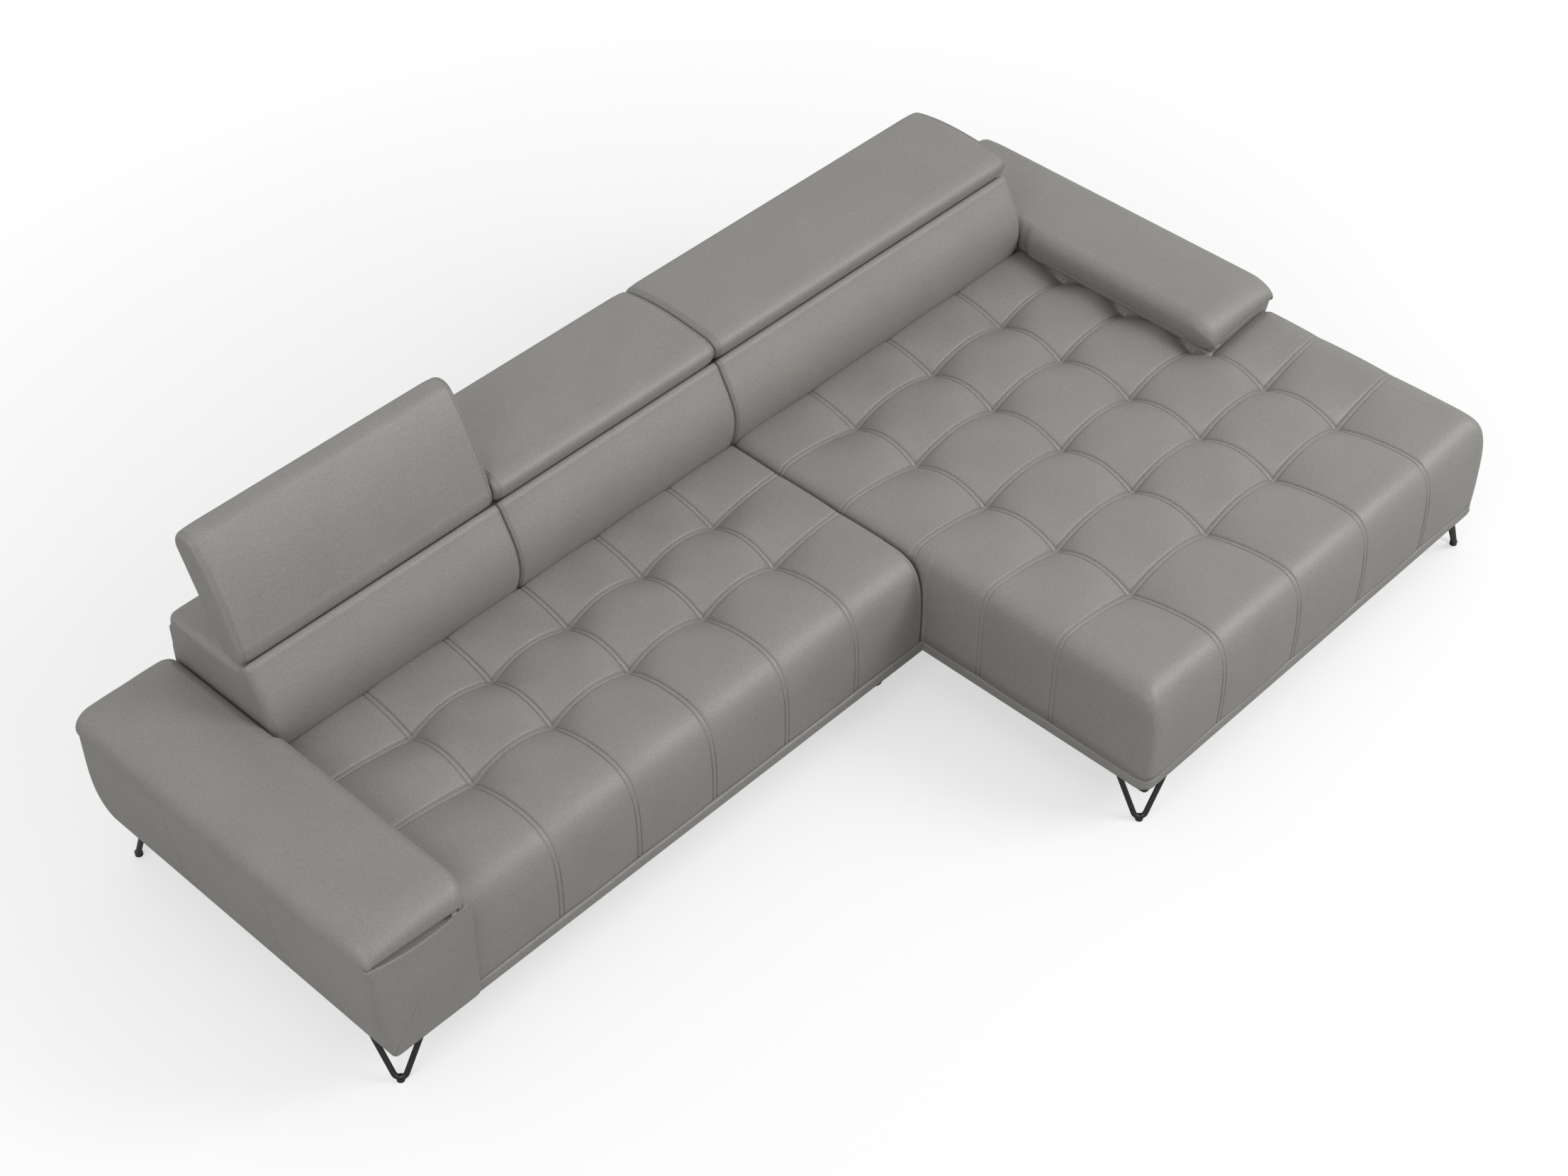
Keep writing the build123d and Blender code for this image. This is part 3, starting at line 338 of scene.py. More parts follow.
band_half, groove_depth, groove_width, band_crown = 6.5, 2.6, 1.3, 0.5
deck_height, strip_top, tuft_height = 272.0, 156.0, 391.0
pillow_height, pillow_peak, pillow_step = 36, 8, 15.0
back_dip, back_dip_width = 8, 6
arm_climb, arm_groove = 26, 9
apron_swell, foot_tuck, under_return = 2.5, 2.0, 24
left_cover_front, left_cover_gap = -128, 29

# Way along a rolled edge: the share of the length of a boxy quarter oval that is passed at each of its phases.
roll_out, roll_down = 110, 280
phase_table = np.linspace(0.0, math.pi / 2, 4000)
roll_way = np.concatenate([[0.0], np.cumsum(np.hypot(np.diff(roll_out * np.sin(phase_table) ** 0.6),
                                                     np.diff(roll_down * np.cos(phase_table) ** 0.4)))])
roll_way /= roll_way[-1]


def seam_stations(seams, low, high, step):
    """Grid stations from low to high, close together across each sewn band and wider on the pillows."""
    pillow_start, closest = 26, 0.3
    offsets = np.array([0, 2.4, 4.2, 5.4, 6.1, 6.9, 7.8, 9.4, 12, 16.5, 23])
    near = np.concatenate([seam + np.concatenate([-offsets, offsets]) for seam in seams])
    fill = np.linspace(low, high, int((high - low) / step))
    far = np.min(np.abs(fill[:, None] - np.asarray(seams)[None, :]), axis=1) > pillow_start
    stations = np.unique(np.concatenate([[low, high], near[(near > low) & (near < high)], fill[far]]))
    return stations[np.concatenate([[True], np.diff(stations) > closest])]


def pillow_rise(values, seams, low, high):
    """Rise of the pillows across one direction: a half sine between two bands, a quarter sine up to an edge.

    The sine is taken to the power 0.8, for a full pillow. Also gives the relief of the bands (a bell-shaped groove
    along each edge and a low crown between), a mask of where they are, and how far a value has gone into the
    first and the last cell.
    """
    lines = np.array([low, *seams, high])
    cell = np.clip(np.searchsorted(lines, values, side="right") - 1, 0, len(lines) - 2)
    start = np.maximum(values - lines[cell] - band_half, 0)
    end = np.maximum(lines[cell + 1] - values - band_half, 0)
    into_first = np.where(cell == 0, np.clip((end + 1e-6) / (lines[1] - low - band_half), 0, 1), 0)
    into_last = np.where(cell == len(seams), np.clip(start / (high - lines[-2] - band_half), 0, 1), 0)
    share = start / np.maximum(start + end, 1e-6)
    rise = np.where(cell == 0, np.sin(math.pi / 2 * into_first),
                    np.where(cell == len(seams), np.sin(math.pi / 2 * into_last), np.sin(math.pi * share)))
    nearest = np.min(np.abs(values[:, None] - np.asarray(seams)[None, :]), axis=1)
    grooves = -groove_depth * np.exp(-((nearest - band_half) / groove_width) ** 2)
    relief = grooves + band_crown * np.clip(1 - (nearest / band_half) ** 2, 0, 1)
    band = np.clip((band_half + 0.5 - nearest) / 1.5, 0, 1)
    return np.maximum(rise, 0) ** 0.8, relief, band, into_first, into_last


def quilted_seat(name, seams_x, seams_y, left, right, back, front, insets, lifts, arm=None):
    """Quilted seat as one grid over the plan, carried on over its rolled edges and closed underneath.

    Height is the tuft height, plus 36 mm times the union of the two pillow rises, plus 8 mm times the root of
    their product, less of it in the cells at the sides; close to the arm the bands climb to its pad. Past a rolled
    edge the point follows a boxy quarter oval outwards and down to the strip, then back underneath. A corner
    takes the greater of its two ways along the oval, and its plan is a boxy oval too.
    """
    # Stations: a flat part, then a way of 0 to 1 over each rolled edge, to 2 underneath and to 3 up to the deck.
    roll_left, roll_right, roll_front = insets
    low_x, high_x, low_y = left + roll_left, right - roll_right, front + roll_front
    flat_x = seam_stations(seams_x, low_x, high_x, pillow_step)
    flat_y = seam_stations(seams_y, low_y, back, pillow_step)
    flat_y = np.unique(np.concatenate([flat_y, back - np.array([3.0, 6.0, 10.0])]))
    if arm:
        arm_edge, arm_line = arm
        clear = flat_y[np.abs(flat_y - arm_line) > 3]
        flat_y = np.unique(np.concatenate([clear, [arm_line - 0.6, arm_line + 0.6]]))
    over = np.concatenate([np.linspace(0, 1, 36)[1:], [1.25, 1.6, 2.0, 2.3, 2.6, 3.0]])
    wall = np.array([0.05, 0.35, 1.0])
    over_left = over[::-1] if roll_left else np.zeros(0)
    wall_left = np.zeros(0) if roll_left else wall[::-1]
    before = len(over_left) + len(wall_left)
    plan_x = np.concatenate([np.full(before, low_x), flat_x, np.full(len(over), high_x)])[None, :]
    way_x = np.concatenate([wall_left * 0, over_left, flat_x * 0, over])[None, :]
    side = np.concatenate([np.full(before, -1.0), flat_x * 0, np.ones(len(over))])[None, :]
    drop_x = np.concatenate([wall_left, np.zeros(plan_x.shape[1] - len(wall_left))])[None, :]
    plan_y = np.concatenate([np.full(len(over), low_y), flat_y, np.full(len(wall), back)])[:, None]
    way_y = np.concatenate([over[::-1], flat_y * 0, wall * 0])[:, None]
    drop_y = np.concatenate([over * 0, flat_y * 0, wall])[:, None]

    # Height of the top over the plan.
    across = pillow_rise(plan_x[0], seams_x, low_x, high_x)
    along = pillow_rise(plan_y[:, 0], seams_y, low_y, back)
    rise_x, relief_x, band_x, first_x, last_x = (part[None, :] for part in across)
    rise_y, relief_y, band_y = (part[:, None] for part in along[:3])
    top = tuft_height + pillow_height * (rise_x + rise_y - rise_x * rise_y)
    top = top + pillow_peak * np.sqrt(rise_x * rise_y) * (1 - 0.75 * np.maximum(first_x, last_x) ** 2)
    top = top + lifts[0] * first_x ** 2 + lifts[1] * last_x ** 2
    top = top - back_dip * np.exp(-((back - plan_y) / back_dip_width) ** 2)
    if arm:
        beside = np.clip((plan_x - arm_edge + 20) / 10, 0, 1) * np.clip((plan_y - arm_line + 5) / 25, 0, 1)
        top = top + arm_climb * beside * (1 - rise_y) * (1 - rise_x)
    relief = relief_x * (1 - band_y) + relief_y * (1 - band_x)

    # Rolled edges: shares of the way to the side and to the front, and the oval's reach and height.
    # The oval is boxier at the sides than at the front.
    way = np.maximum(way_x, way_y)
    east = np.where(way_y <= way_x, 1.0, way_x / np.maximum(way_y, 1e-9)) * (way > 0)
    south = np.where(way_y <= way_x, way_y / np.maximum(way_x, 1e-9), 1.0) * (way > 0)
    ahead = south ** 2 / np.maximum(east ** 2 + south ** 2, 1e-9)
    round_off = np.maximum((east ** 6 + south ** 6) ** (1 / 6), 1e-9)
    phase = np.interp(way, roll_way, phase_table)
    reach_box, height_box = 3.5 - 0.5 * ahead, 8.0 - 3.5 * ahead
    reach, height = np.sin(phase) ** (2 / reach_box), np.cos(phase) ** (2 / height_box)
    under, upward = np.clip(way - 1, 0, 1), np.clip(way - 2, 0, 1)
    skirt = way_y > 0
    swell = apron_swell * (1 - np.where(way_y > way_x, rise_x, np.where(way_x > 0, rise_y, 1)))
    tuck = foot_tuck * np.clip(1 - height / 0.3, 0, 1) ** 2
    if arm:
        skirt = skirt | (plan_y < arm_line) | (side < 0) & (plan_y < arm_line + 60)
        swell, tuck = (np.where(plan_y > arm_line, 0, part) for part in (swell, tuck))
    foot = np.where(skirt, strip_top, deck_height)
    facing = np.clip((height - 0.55) / 0.45, 0, 1)
    give = relief * (1 - facing) - swell - tuck
    roll_side = np.where(side < 0, roll_left, roll_right)
    x = plan_x + side * (roll_side * reach + give * reach - under_return * under) * east / round_off
    y = plan_y - (roll_front * reach + give * reach - under_return * under) * south / round_off
    z = foot + (top + relief * facing - foot) * height
    z = z + (deck_height - z) * upward
    z = z + (deck_height - z) * np.maximum(drop_x, drop_y)
    x, y, z = np.broadcast_arrays(x, y, z)

    # Beside the arms the seat stops: it stands clear of the left cover, and drops at the edge of the right one.
    if not roll_left:
        x = np.where(y < left_cover_front, np.maximum(x, left + left_cover_gap), x)
    if arm:
        behind = (plan_y > arm_line) & (way_y == 0)
        beyond = (plan_x > arm_edge) & behind
        first = int(np.argmax(plan_x[0] > arm_edge))
        fall = np.clip((np.arange(x.shape[1]) - first + 1) / (x.shape[1] - first), 0, 1)[None, :]
        edge_z = z[:, first - 1:first]
        z = np.where(beyond, edge_z + (deck_height - edge_z) * fall, z)
        x = np.where(beyond, arm_edge, x)
        before_pad = (plan_x > arm_edge - 30) & ~behind & (way_y == 0) & (z > 300)
        z = z - np.where(before_pad, arm_groove * np.exp(-((y - arm_line) / arm_groove) ** 2), 0)
    points = np.stack([x, y, z], axis=-1)
    rows, columns = points.shape[:2]
    index = np.arange(rows * columns).reshape(rows, columns)
    rim = np.concatenate([index[0, :-1], index[:-1, -1], index[-1, :0:-1], index[:0:-1, 0]])
    seat = hide_piece(name, points.reshape(-1, 3), grid_faces(rows, columns) + [rim.tolist()], "sofa")
    return seat


two_seat_quilt = quilted_seat("two_seat_quilt", seams_x=[-1053.0, -803.0, -553.0, -303.0, -53.0],
                              seams_y=[117.5, 330.5], left=-1340.0, right=189.0, back=499.0, front=-169.0,
                              insets=(0.0, 16.0, 140.0), lifts=(0.0, 0.0))
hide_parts("two_seat_cushion")
chaise_quilt = quilted_seat("chaise_quilt", seams_x=[479.0, 784.0, 1069.0, 1349.0],
                            seams_y=[-584.5, -350.5, -116.5, 117.5, 330.5], left=190.0, right=1617.0, back=499.0,
                            front=-889.0, insets=(78.0, 78.0, 100.0), lifts=(8.0, 15.0), arm=(1356.0, -172.0))
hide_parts("chaise_cushion")


# Base strips: a slim padded bar in the same hide closes the foot of each apron. It is stapled to the seat frame
# from below; the chaise strip runs round its two front corners.
def rounded_line(corners, radii, closed, count):
    """Polyline with every corner eased by a parabola of the given size, resampled to even steps."""
    corners = np.asarray(corners, dtype=float)
    ease = np.linspace(0, 1, 13)[:, None]
    pieces = []
    for k, radius in enumerate(radii):
        if not closed and k in (0, len(corners) - 1):
            pieces.append(corners[k:k + 1])
            continue
        before, after = corners[k - 1] - corners[k], corners[(k + 1) % len(corners)] - corners[k]
        start = corners[k] + before / np.linalg.norm(before) * radius
        end = corners[k] + after / np.linalg.norm(after) * radius
        pieces.append((1 - ease) ** 2 * start + 2 * ease * (1 - ease) * corners[k] + ease ** 2 * end)
    line = np.concatenate(pieces + ([pieces[0][:1]] if closed else []))
    way = np.concatenate([[0], np.cumsum(np.linalg.norm(np.diff(line, axis=0), axis=1))])
    even = np.linspace(0, way[-1], count, endpoint=not closed)
    return np.stack([np.interp(even, way, line[:, axis]) for axis in range(line.shape[1])], axis=-1)


def closed_skin(name, rings, body):
    """Closed hide from a stack of rings (rings, points, xyz): the sides are a grid, each end a flat face."""
    count, around = rings.shape[:2]
    ends = [list(range(around)), list(range((count - 1) * around, count * around))]
    return hide_piece(name, rings.reshape(-1, 3), grid_faces(count, around, wrap=True) + ends, body)


def drawn(profile, centre, inset):
    """Profile drawn in towards a centre by a distance; one ring per row of inset."""
    away = profile - centre
    length = np.maximum(np.linalg.norm(away, axis=-1, keepdims=True), 1e-6)
    inset = np.asarray(inset)
    pull = np.minimum(inset.reshape(len(inset), -1, 1) / length, 0.97)
    return centre + away * (1 - pull)


strip_out = 28.5
strip_profile = rounded_line([(0, 128.4), (23.2, 128.4), (24, 124.5), (strip_out, 124.5), (strip_out, 155.6),
                              (0, 155.6)], [4, 1, 1, 2, 8, 4], True, 48)


def base_strip(name, path, node):
    """Bar profile (outwards, up) swept along a level path with square ends; outwards is left of the path."""
    step = np.gradient(path, axis=0)
    outward = np.stack([-step[:, 1], step[:, 0]], axis=-1) / np.linalg.norm(step, axis=-1, keepdims=True)
    profile = np.broadcast_to(strip_profile, (len(path), *strip_profile.shape))
    flat = path[:, None, :] + outward[:, None, :] * (profile[..., :1] - strip_out)
    strip = closed_skin(name, np.concatenate([flat, profile[..., 1:]], axis=-1), "sofa")
    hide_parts(node)


end_steps = np.array([0, 2, 4, 6])
straight = np.concatenate([-1324.5 + end_steps, np.linspace(-1300, 160, 60), 190.8 - end_steps[::-1]])[::-1]
base_strip("two_seat_strip", np.stack([straight, np.full(len(straight), -171.5)], axis=-1), "two_seat_base_strip")
base_strip("chaise_strip", rounded_line([(1614, -172.4), (1614, -888), (191.4, -888), (191.4, -172.0)],
                                        [0, 38, 38, 0], False, 700), "chaise_base_strip")

# Arms: a plywood box in a padded hide cover with a sewn front panel, and a separate pad that lies on the box.
# The outer side bellies out above a drawn-in foot and is joined from three panels by two stitched seams.
arm_inner, arm_middle, arm_outer = 1326, 1467.0, 1610
arm_foot, arm_split, foot_outer, foot_draw = 128.5, 465.5, 1566, 41
seat_front, seat_back, seat_deck, seat_side = -130, 503, 272, 1360


def arm_cover_skin(name, side, node, front, swell):
    """Upright outline of the arm carried from front to back, with a rounded and slightly swollen front panel.

    The outline stands on the drawn-in foot, follows the belly to the split under the pad and returns down the
    inner side, which steps back beside the seat. The top falls towards the inner side at its front edge and
    sags in the middle there, which leaves a lens-shaped slit under the pad. Each seam is a bell-shaped groove.
    """
    belly_z = np.linspace(142, 452, 14)
    belly = arm_outer - foot_draw * (1 - np.clip((belly_z - 128) / 245, 0, 1)) ** 2.3
    corners = [(arm_inner, arm_foot), (foot_outer, arm_foot), *zip(belly, belly_z), (arm_outer, arm_split),
               (arm_inner, arm_split)]
    outline = rounded_line(corners, [16, 14] + [6] * 14 + [2, 8], True, 260)
    centre = np.array([arm_middle, 300.0])

    # Insets and stations of the rings: front panel, eased front edge, run, eased rear edge and rear face.
    outwards, upwards = outline[:, 0], outline[:, 1]
    corner = 6 + 27 * (np.clip((outwards - 1500) / 70, 0, 1) * np.clip((upwards - 135) / 60, 0, 1)
                       * np.clip((462 - upwards) / 30, 0, 1))
    ease = np.linspace(math.pi / 2, 0, 10)[:, None]
    edge_inset, edge_y = corner * (1 - np.cos(ease)), front + corner * (1 - np.sin(ease))
    panel = np.array([0.12, 0.16, 0.4, 0.62, 0.8, 0.92])[:, None]
    panel_inset = corner + (1 - panel) * (np.linalg.norm(outline - centre, axis=1) - corner)
    flat = drawn(outline, centre, panel_inset)
    panel_width, panel_height = 125, 168
    panel_y = front - swell * (np.clip(1 - ((flat[..., 0] - arm_middle) / panel_width) ** 2, 0, 1)
                               * np.clip(1 - ((flat[..., 1] - 297) / panel_height) ** 2, 0, 1)) ** 2
    rear_round = 10
    rear_inset = rear_round * (1 - np.sin(ease[::-1])) + 0 * corner
    rear_y = 836 + rear_round * np.cos(ease[::-1]) + 0 * corner
    close = np.array([-12, -5, -3.4, -2.2, -1.2, 0, 1.2, 2.2, 3.4, 5, 12])
    stitches = [seam + close for seam in (150.0, 170.0, 505.0, 525.0)]
    steps = [seat_front - 0.5, seat_front + 0.5, seat_back - 0.5, seat_back + 0.5]
    along = np.unique(np.concatenate([np.linspace(-132, 834, 120), steps, *stitches]))[:, None]
    inset = np.concatenate([panel_inset, edge_inset, 0 * (along + corner), rear_inset[::-1],
                            rear_inset[:1] + [[20], [70]]])
    y = np.concatenate([panel_y, edge_y, along + 0 * corner, rear_y[::-1], rear_y[:1] + [[0.5], [1]]])
    rings = drawn(outline, centre, inset)
    x, z = rings[..., 0], rings[..., 1]

    # Seams of the outer side, the step of the inner side beside the seat, and the fall of the front top edge.
    outer = np.clip((x - 1480) / 90, 0, 1)
    seam_depth = seam_width = 2.2
    for seam in (165.0, 518.0):
        lean = seam + (z - 330) * 0.14 + 8 * ((z - 330) / 120) ** 2
        x = x - outer * seam_depth * np.exp(-((y - lean) / seam_width) ** 2)
    beside_seat = (y > seat_front) & (y < seat_back) & (z > seat_deck)
    x = x + np.where(beside_seat, np.maximum(seat_side - x, 0), 0)
    inner = np.clip((1420 - x) / 90, 0, 1)
    if side < 0:
        x = x - np.where(y < seat_front, 12 * inner * np.clip((450 - z) / 40, 0.2, 1), 0)
    else:
        x = np.where((z > 380) & (y < seat_back), np.maximum(x, 1352), x)
    upper = np.clip((z - 380) / 85, 0, 1)
    ahead = np.clip((-90 - y) / 70, 0, 1) ** 1.2
    across = np.clip((x - arm_inner) / (arm_outer - arm_inner), 0, 1)
    fall, sag = (20, 22) if side < 0 else (30, 6)
    z = z - upper * ahead * (fall - fall * across + sag * np.sin(math.pi * across) ** 0.8)
    cover = closed_skin(name, np.stack([side * x, y, z], axis=-1), "sofa")
    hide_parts(node)


def arm_pad_skin(name, side, node):
    """Full cushion outline carried from the rear to a round nose that curls under above the front panel.

    The outline has a bull nose on each side and a low crown between. Beside the back unit its inner side
    steps out of the way. At the nose the height above the lower edge falls in a quarter oval and then turns back;
    the lower edge falls from the outer to the inner side. A seam runs round the pad above its lower edge.
    """
    bottom, outer_roll, inner_roll, inner_radius = 466.3, 1571, 1354, 38
    turn = np.linspace(-0.42, math.pi / 2, 60)
    outer_nose = np.stack([outer_roll + 46 * np.cos(turn), 480 + 45 * np.sin(turn)], axis=-1)
    span = np.linspace(0, 1, 62)[1:-1]
    crown = np.stack([outer_roll - (outer_roll - inner_roll) * span,
                      525 + span + 5 * np.sin(math.pi * span)], axis=-1)
    turn = np.linspace(math.pi / 2, math.pi, 50)
    inner_nose = np.stack([inner_roll + inner_radius * np.cos(turn), 488 + inner_radius * np.sin(turn)], axis=-1)
    tuck = rounded_line([(1316, 488), (1316, 468), (1331, 428), (1356, 431)], [0, 20, 6, 0], False, 60)
    shell = np.concatenate([[(1608, 458.5)], outer_nose, crown, inner_nose, tuck[1:]])
    under = np.concatenate([np.stack([np.linspace(1357, 1361, 8), np.linspace(436, bottom, 8)], axis=-1),
                            np.stack([np.linspace(1366, 1600, 50), np.full(50, bottom)], axis=-1)])
    outline = np.concatenate([shell, under])
    below = (np.arange(len(outline)) >= len(shell))[None, :]

    # Rings from the rear, along the run and round the nose; share is the height that is left of the outline.
    ease = np.linspace(0, math.pi / 2, 30)
    rear_inset = np.concatenate([[30, 18], 16 * (1 - np.sin(ease[::3]))])
    run = np.concatenate([[846.6, 846.4], 830 + 16 * np.cos(ease[::3]), np.linspace(812, -90, 150)])
    nose_y = np.concatenate([-96 - 86 * np.sin(ease), -182 + 8 * (1 - np.cos(ease[2:]))])
    curl = 0.28
    nose_share = np.concatenate([curl + (1 - curl) * np.cos(ease) ** 0.9, curl * (1 - np.sin(ease[2:]))])
    share = np.concatenate([run * 0 + 1, nose_share])[:, None]
    y = np.concatenate([run, nose_y])[:, None]
    inset = np.concatenate([rear_inset, np.zeros(len(y) - len(rear_inset))])
    rings = drawn(outline, np.array([arm_middle, 482.0]), inset)
    x, z = rings[..., 0], rings[..., 1]

    # The rear drops a little and lies flat, the inner side steps aside, and the seam is a bell-shaped groove.
    inner = np.clip((1450 - x) / 110, 0, 1)
    z = bottom + (z - bottom) * np.where(z > bottom, 1 - 0.12 * np.clip((y - 760) / 86, 0, 1) ** 2, 1)
    z = np.where((y > 500) & (z < bottom), bottom, z)
    aside = np.clip((y - 444) / 26, 0, 1)
    x = x + 10.5 * inner * aside ** 2 * (3 - 2 * aside)
    seam_depth, seam_height, seam_width = 2.4, 449, 2.0
    x = x + seam_depth * np.exp(-((z - seam_height) / seam_width) ** 2) * (x < 1345) * (share == 1)

    # Nose: heights shrink towards the lower edge, and the plan rounds off at both corners.
    nose = 1 - share
    hem = 449 if side < 0 else 438
    lower = hem + (468 - hem) * np.clip((x - arm_inner) / (arm_outer - arm_inner), 0, 1)
    turned = np.where(below | (z < lower), z + (lower - z) * np.sqrt(nose), lower + (z - lower) * share)
    z = np.where(nose > 0, turned, z)
    y = np.where(below, np.maximum(y, -174 + 3 * (1 - nose)), y)
    front = np.clip((-118 - y) / 64, 0, 1)
    rounded = 1 - np.sqrt(1 - front ** 2)
    x = x + 34 * rounded * np.clip((1400 - x) / 80, 0, 1)
    x = x - (4 * front + 10 * rounded) * np.clip((x - 1550) / 60, 0, 1)
    pad = closed_skin(name, np.stack(np.broadcast_arrays(side * x, y, z), axis=-1), "sofa")
    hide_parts(node)


for hand, side, front, swell in (("left", -1, -179.0, 4.0), ("right", 1, -171.4, 0.0)):
    arm_cover_skin(f"{hand}_arm_hide", side, f"{hand}_arm_cover", front, swell)
    arm_pad_skin(f"{hand}_arm_top", side, f"{hand}_arm_pad")

# Backs: a lumbar roll and the shelf under the headrest in one padded unit, hooked over the back frame.
# Each end is a flat panel sewn on close to the edge, so two neighbours meet in a deep crease.
back_ends = {"left": (-1324.5, -558.4), "middle": (-557.6, 188.8), "chaise": (190.2, 1324.5)}
back_foot, pocket_top, shelf_height = 273, 612, 642
back_front, back_head, frame_front, back_rear = 502.3, 538, 706, 845


def back_skin(name, low, high, rounding, node):
    """Outline of the back carried across: upright foot, bulging roll, level shelf, and the pocket over the frame.

    The roll is a leaning line pushed forwards by a sine; its crest follows the headrest's nose. The ends are drawn
    in along a quarter circle, and within 14 mm of each end the pocket is filled, so that the end panel closes it.
    """
    share = np.linspace(0, 1, 26)
    bulge = 45 * np.sin(math.pi * share) ** 1.1 * (1 - 0.15 * share)
    roll_y = back_front + (back_head - back_front) * share - bulge
    roll_z = 398 + 264 * share
    crest = [(545.5, 667.2), (550.8, 669.4), (554.4, 666.6), (558, 662.6), (567.5, 654.4), (577, 649),
             (591.5, 645.8)]
    corners = [(frame_front, back_foot), (back_front, back_foot), *zip(roll_y, roll_z), *crest,
               (700, shelf_height), (back_rear, shelf_height), (back_rear, pocket_top), (frame_front, pocket_top)]
    radii = [5, 6, 8] + [4] * 25 + [2.5, 2.6, 1.8, 2.5, 5, 4, 6, 10, 16, 8, 5]
    outline = rounded_line(corners, radii, True, 420)
    pocket = np.flatnonzero((outline[:, 0] > 702) & (outline[:, 1] < pocket_top + 0.5))
    pocket = np.roll(pocket, -int(np.argmax(outline[pocket, 0])))
    filled = outline.copy()
    filled[pocket] = rounded_line([(back_rear, pocket_top), (back_rear, back_foot), (frame_front, back_foot)],
                                  [0, 14, 0], False, len(pocket))
    reach = np.array([0, 0.05, 0.4, 1.0, 1.8, 2.8, 4, 5.4, 6.6, 7.2, 7.8, 8.6, 10, 12, 13.8, 14, 17, 21, 26, 34,
                      46])
    ends = []
    for size in rounding:
        turn = size * (1 - np.sqrt(1 - np.clip(1 - reach / size, 0, 1) ** 2))
        turn = turn + 4 * np.clip(1 - reach / reach[-1], 0, 1) ** 2
        ends.append(turn + (1.6 * np.exp(-((reach - 7.2) / 0.9) ** 2) if size < 15 else 0))
    middle = np.linspace(low + 60, high - 60, 50)
    x = np.concatenate([low + reach, middle, (high - reach)[::-1]])[:, None]
    inset = np.concatenate([ends[0], middle * 0, ends[1][::-1]])
    near_end = (np.minimum(x - low, high - x) < 13.9)[..., None]
    centre = np.array([640.0, 520.0])
    hidden = np.where(filled[:, 0] > 710, 0.15 + 0.85 * np.clip((filled[:, 1] - 540) / 90, 0, 1), 1.0)
    rings = np.where(near_end, drawn(filled, centre, inset[:, None] * hidden), drawn(outline, centre, inset))
    across = np.broadcast_to(x, rings.shape[:2])
    back = closed_skin(name, np.stack([across, rings[..., 0], rings[..., 1]], axis=-1), "sofa")
    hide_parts(node)


for unit, (low, high) in back_ends.items():
    rounding = (20.0 if unit == "left" else 12.0, 18.0 if unit == "chaise" else 12.0)
    back_skin(f"{unit}_back_roll", low, high, rounding, f"{unit}_back_cushion")

# Headrests: a plywood board in foam and hide that turns about a pin near its front edge. The left one is raised.
# A gusset closes each end; the seam beside it is stitched down in two rows.
pivot_y, pivot_z = 591.5, 696
raised = math.radians(65.5)


def headrest_skin(name, low, high, tilt, unit):
    """Round-nosed slab outline about the pivot, carried across with drawn-in ends, then turned to its tilt.

    The nose is a half circle that bulges by a bell curve towards the front, the face a cubic that leaves the nose
    and meets the far roll in line with them, and the underside is flat. Two bell-shaped grooves mark each gusset.
    """
    radius, drop, length = 42.2, 6, 261
    turn = np.linspace(math.pi * 1.5, math.pi * 0.5, 40)
    nose = np.stack([radius * np.cos(turn), -drop + radius * np.sin(turn)], axis=-1)
    angle = np.arctan2(nose[:, 1], nose[:, 0]) % (2 * math.pi)
    nose = nose * (1 + 0.15 * np.exp(-((angle - math.radians(165)) / 0.49) ** 2))[:, None]
    run = np.linspace(0, 1, 40)[1:-1]
    way = 1 - run
    face = np.stack([269.8 * run, 36.2 * way ** 2 * (1 + 2 * run) + 32.4 * run * way ** 2
                     + 35.3 * run ** 2 * (3 - 2 * run) + 57.4 * run ** 2 * way], axis=-1)
    turn = np.linspace(math.radians(78), -math.pi * 0.5, 40)
    far = np.stack([length + radius * np.cos(turn), -drop + radius * np.sin(turn)], axis=-1)
    flat = np.stack([length * run[::-1], np.full(len(run), -(drop + radius))], axis=-1)
    outline = np.concatenate([nose, face, far, flat])
    reach = np.array([0, 0.1, 0.5, 1.4, 2.8, 4.6, 6.6, 7.6, 8.4, 9, 9.6, 10.4, 11.6, 12.8, 13.6, 14.2, 14.8, 15.8,
                      18, 23, 30, 40, 54])
    inset = 13 * (1 - np.sqrt(1 - np.clip(1 - reach / 15, 0, 1) ** 2))
    inset = inset + 4 * np.clip(1 - reach / reach[-1], 0, 1) ** 2
    stitch_depth, stitch_width = 1.7, 0.9
    for stitch_row in (9, 14.2):
        inset = inset + stitch_depth * np.exp(-((reach - stitch_row) / stitch_width) ** 2)
    inset[0] += 4
    middle = np.linspace(low + 66, high - 66, 50)
    x = np.concatenate([low + reach, middle, (high - reach)[::-1]])[:, None]
    inset = np.concatenate([inset, middle * 0, inset[::-1]])
    spine = np.stack([np.clip(outline[:, 0], 0, length), np.full(len(outline), -float(drop))], axis=-1)
    rings = drawn(outline, spine, inset)
    depth, rise = rings[..., 0], rings[..., 1]
    y = pivot_y + depth * math.cos(tilt) - rise * math.sin(tilt)
    z = pivot_z + depth * math.sin(tilt) + rise * math.cos(tilt)
    across = np.broadcast_to(x, y.shape)
    headrest = closed_skin(name, np.stack([across, y, z], axis=-1), f"{unit}_headrest")
    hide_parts(f"{unit}_headrest_pad")


for unit, (low, high) in back_ends.items():
    headrest_skin(f"{unit}_headrest_hide", low, high, raised if unit == "left" else 0.0, unit)


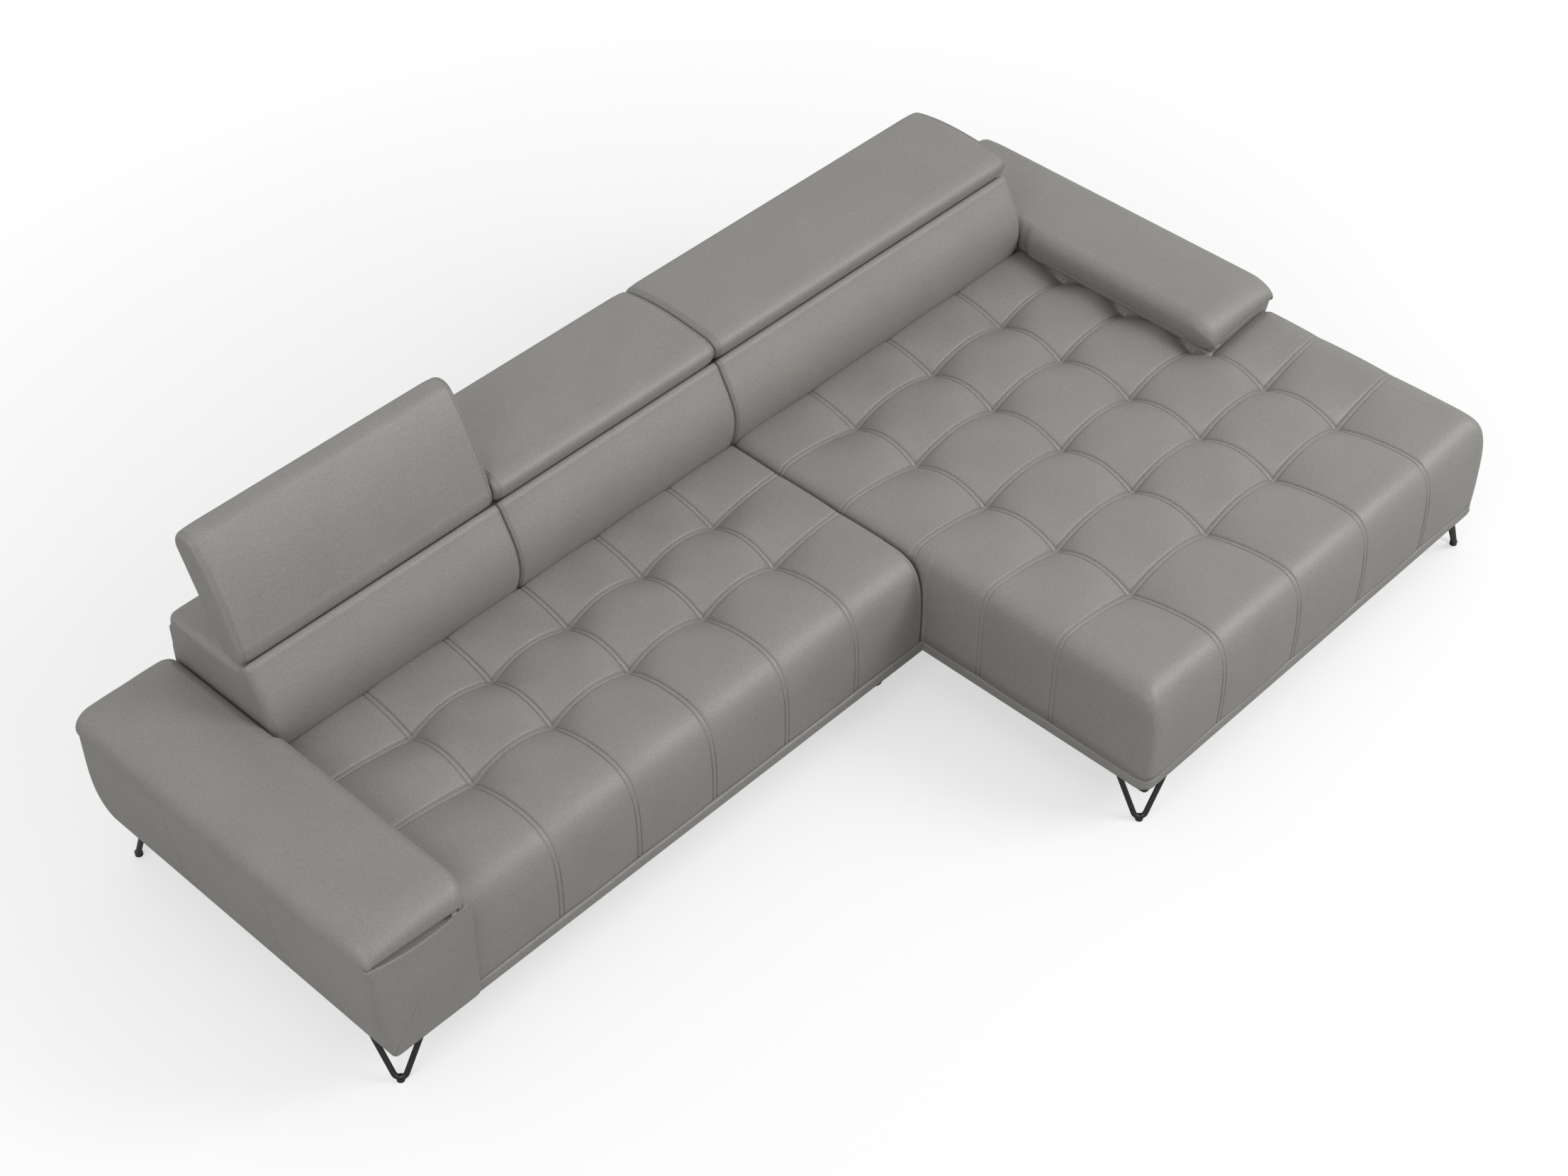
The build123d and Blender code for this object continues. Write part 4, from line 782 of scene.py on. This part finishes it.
# Rear panels: a hide-covered board closes the back of each module and is pulled taut round its edges.
# It is not seen in the photograph; it is made plain, with a slight swell.
def rear_panel_skin(name, low, high, node):
    """Upright rounded rectangle, eased over its rear edge and swollen by a few millimetres in the middle."""
    bottom, top, corner = 129, 611.5, 10
    outline = rounded_line([(low, bottom), (high, bottom), (high, top), (low, top)], [corner] * 4, True, 240)
    ease = np.linspace(0, math.pi / 2, 10)
    inset = np.concatenate([[6, 2, 0], 9 * (1 - np.cos(ease)), [14, 30, 60, 110, 180, 225]])
    swollen = [846.6, 847.8, 849.2, 850.4, 851, 851]
    y = np.concatenate([[834.2, 834.2, 835], 837 + 9 * np.sin(ease), swollen])[:, None]
    centre = np.stack([np.clip(outline[:, 0], low + 240, high - 240), np.full(len(outline), 369.0)], axis=-1)
    rings = drawn(outline, centre, inset)
    panel = closed_skin(name, np.stack(np.broadcast_arrays(rings[..., 0], y, rings[..., 1]), axis=-1), "sofa")
    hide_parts(node)


rear_panel_skin("two_seat_rear_hide", -1324.0, 188.8, "two_seat_rear_panel")
rear_panel_skin("chaise_rear_hide", 191.2, 1324.0, "chaise_rear_panel")


# Hinges, pins, screws, bolts and the module connectors: bright zinc-plated steel with a faint brushed tone.
# They keep their solids from the model.
def hardware_finish(name, dark, pale, metallic, roughness, scale):
    """Plating, coating or moulded plastic whose tone and gloss drift a little with noise."""
    material, tree, shader = new_material(name)
    place = tree.nodes.new("ShaderNodeTexCoord")
    drift = tree.nodes.new("ShaderNodeTexNoise")
    drift.inputs["Scale"].default_value = scale
    drift.inputs["Detail"].default_value = 6.0
    tone = tone_ramp(tree, dark, pale, 0.3, 0.7)
    gloss = tree.nodes.new("ShaderNodeMapRange")
    gloss.inputs["To Min"].default_value = roughness[0]
    gloss.inputs["To Max"].default_value = roughness[1]
    tree.links.new(place.outputs["Object"], drift.inputs["Vector"])
    tree.links.new(drift.outputs["Fac"], tone.inputs["Fac"])
    tree.links.new(tone.outputs["Color"], shader.inputs["Base Color"])
    tree.links.new(drift.outputs["Fac"], gloss.inputs["Value"])
    tree.links.new(gloss.outputs["Result"], shader.inputs["Roughness"])
    shader.inputs["Metallic"].default_value = metallic
    return material


zinc_steel = hardware_finish("zinc_steel", (0.46, 0.46, 0.45), (0.62, 0.62, 0.61), 1.0, (0.28, 0.42), 90.0)
hinge_parts = ("hinge_arms", "hinge_brackets", "hinge_pins", "flange_screws")
dress(zinc_steel, "arm_bolts", "base_screws", "hinge_screws", "module_connectors",
      *(f"{unit}_{part}" for unit in back_ends for part in hinge_parts))

# Feet: black powder-coated rods bent to a V and welded to a corner plate, with plastic cups on their tips,
# and plain round feet beside the joint of the modules.
black_metal = hardware_finish("black_metal", (0.008, 0.008, 0.009), (0.018, 0.018, 0.019), 0.0,
                              (0.32, 0.48), 160.0)
dress(black_metal, "front_left_leg", "rear_left_leg", "rear_right_leg", "chaise_front_left_leg",
      "chaise_front_right_leg")
black_plastic = hardware_finish("black_plastic", (0.012, 0.012, 0.012), (0.024, 0.024, 0.025), 0.0,
                                (0.5, 0.65), 240.0)
dress(black_plastic, "leg_glides", "support_feet")
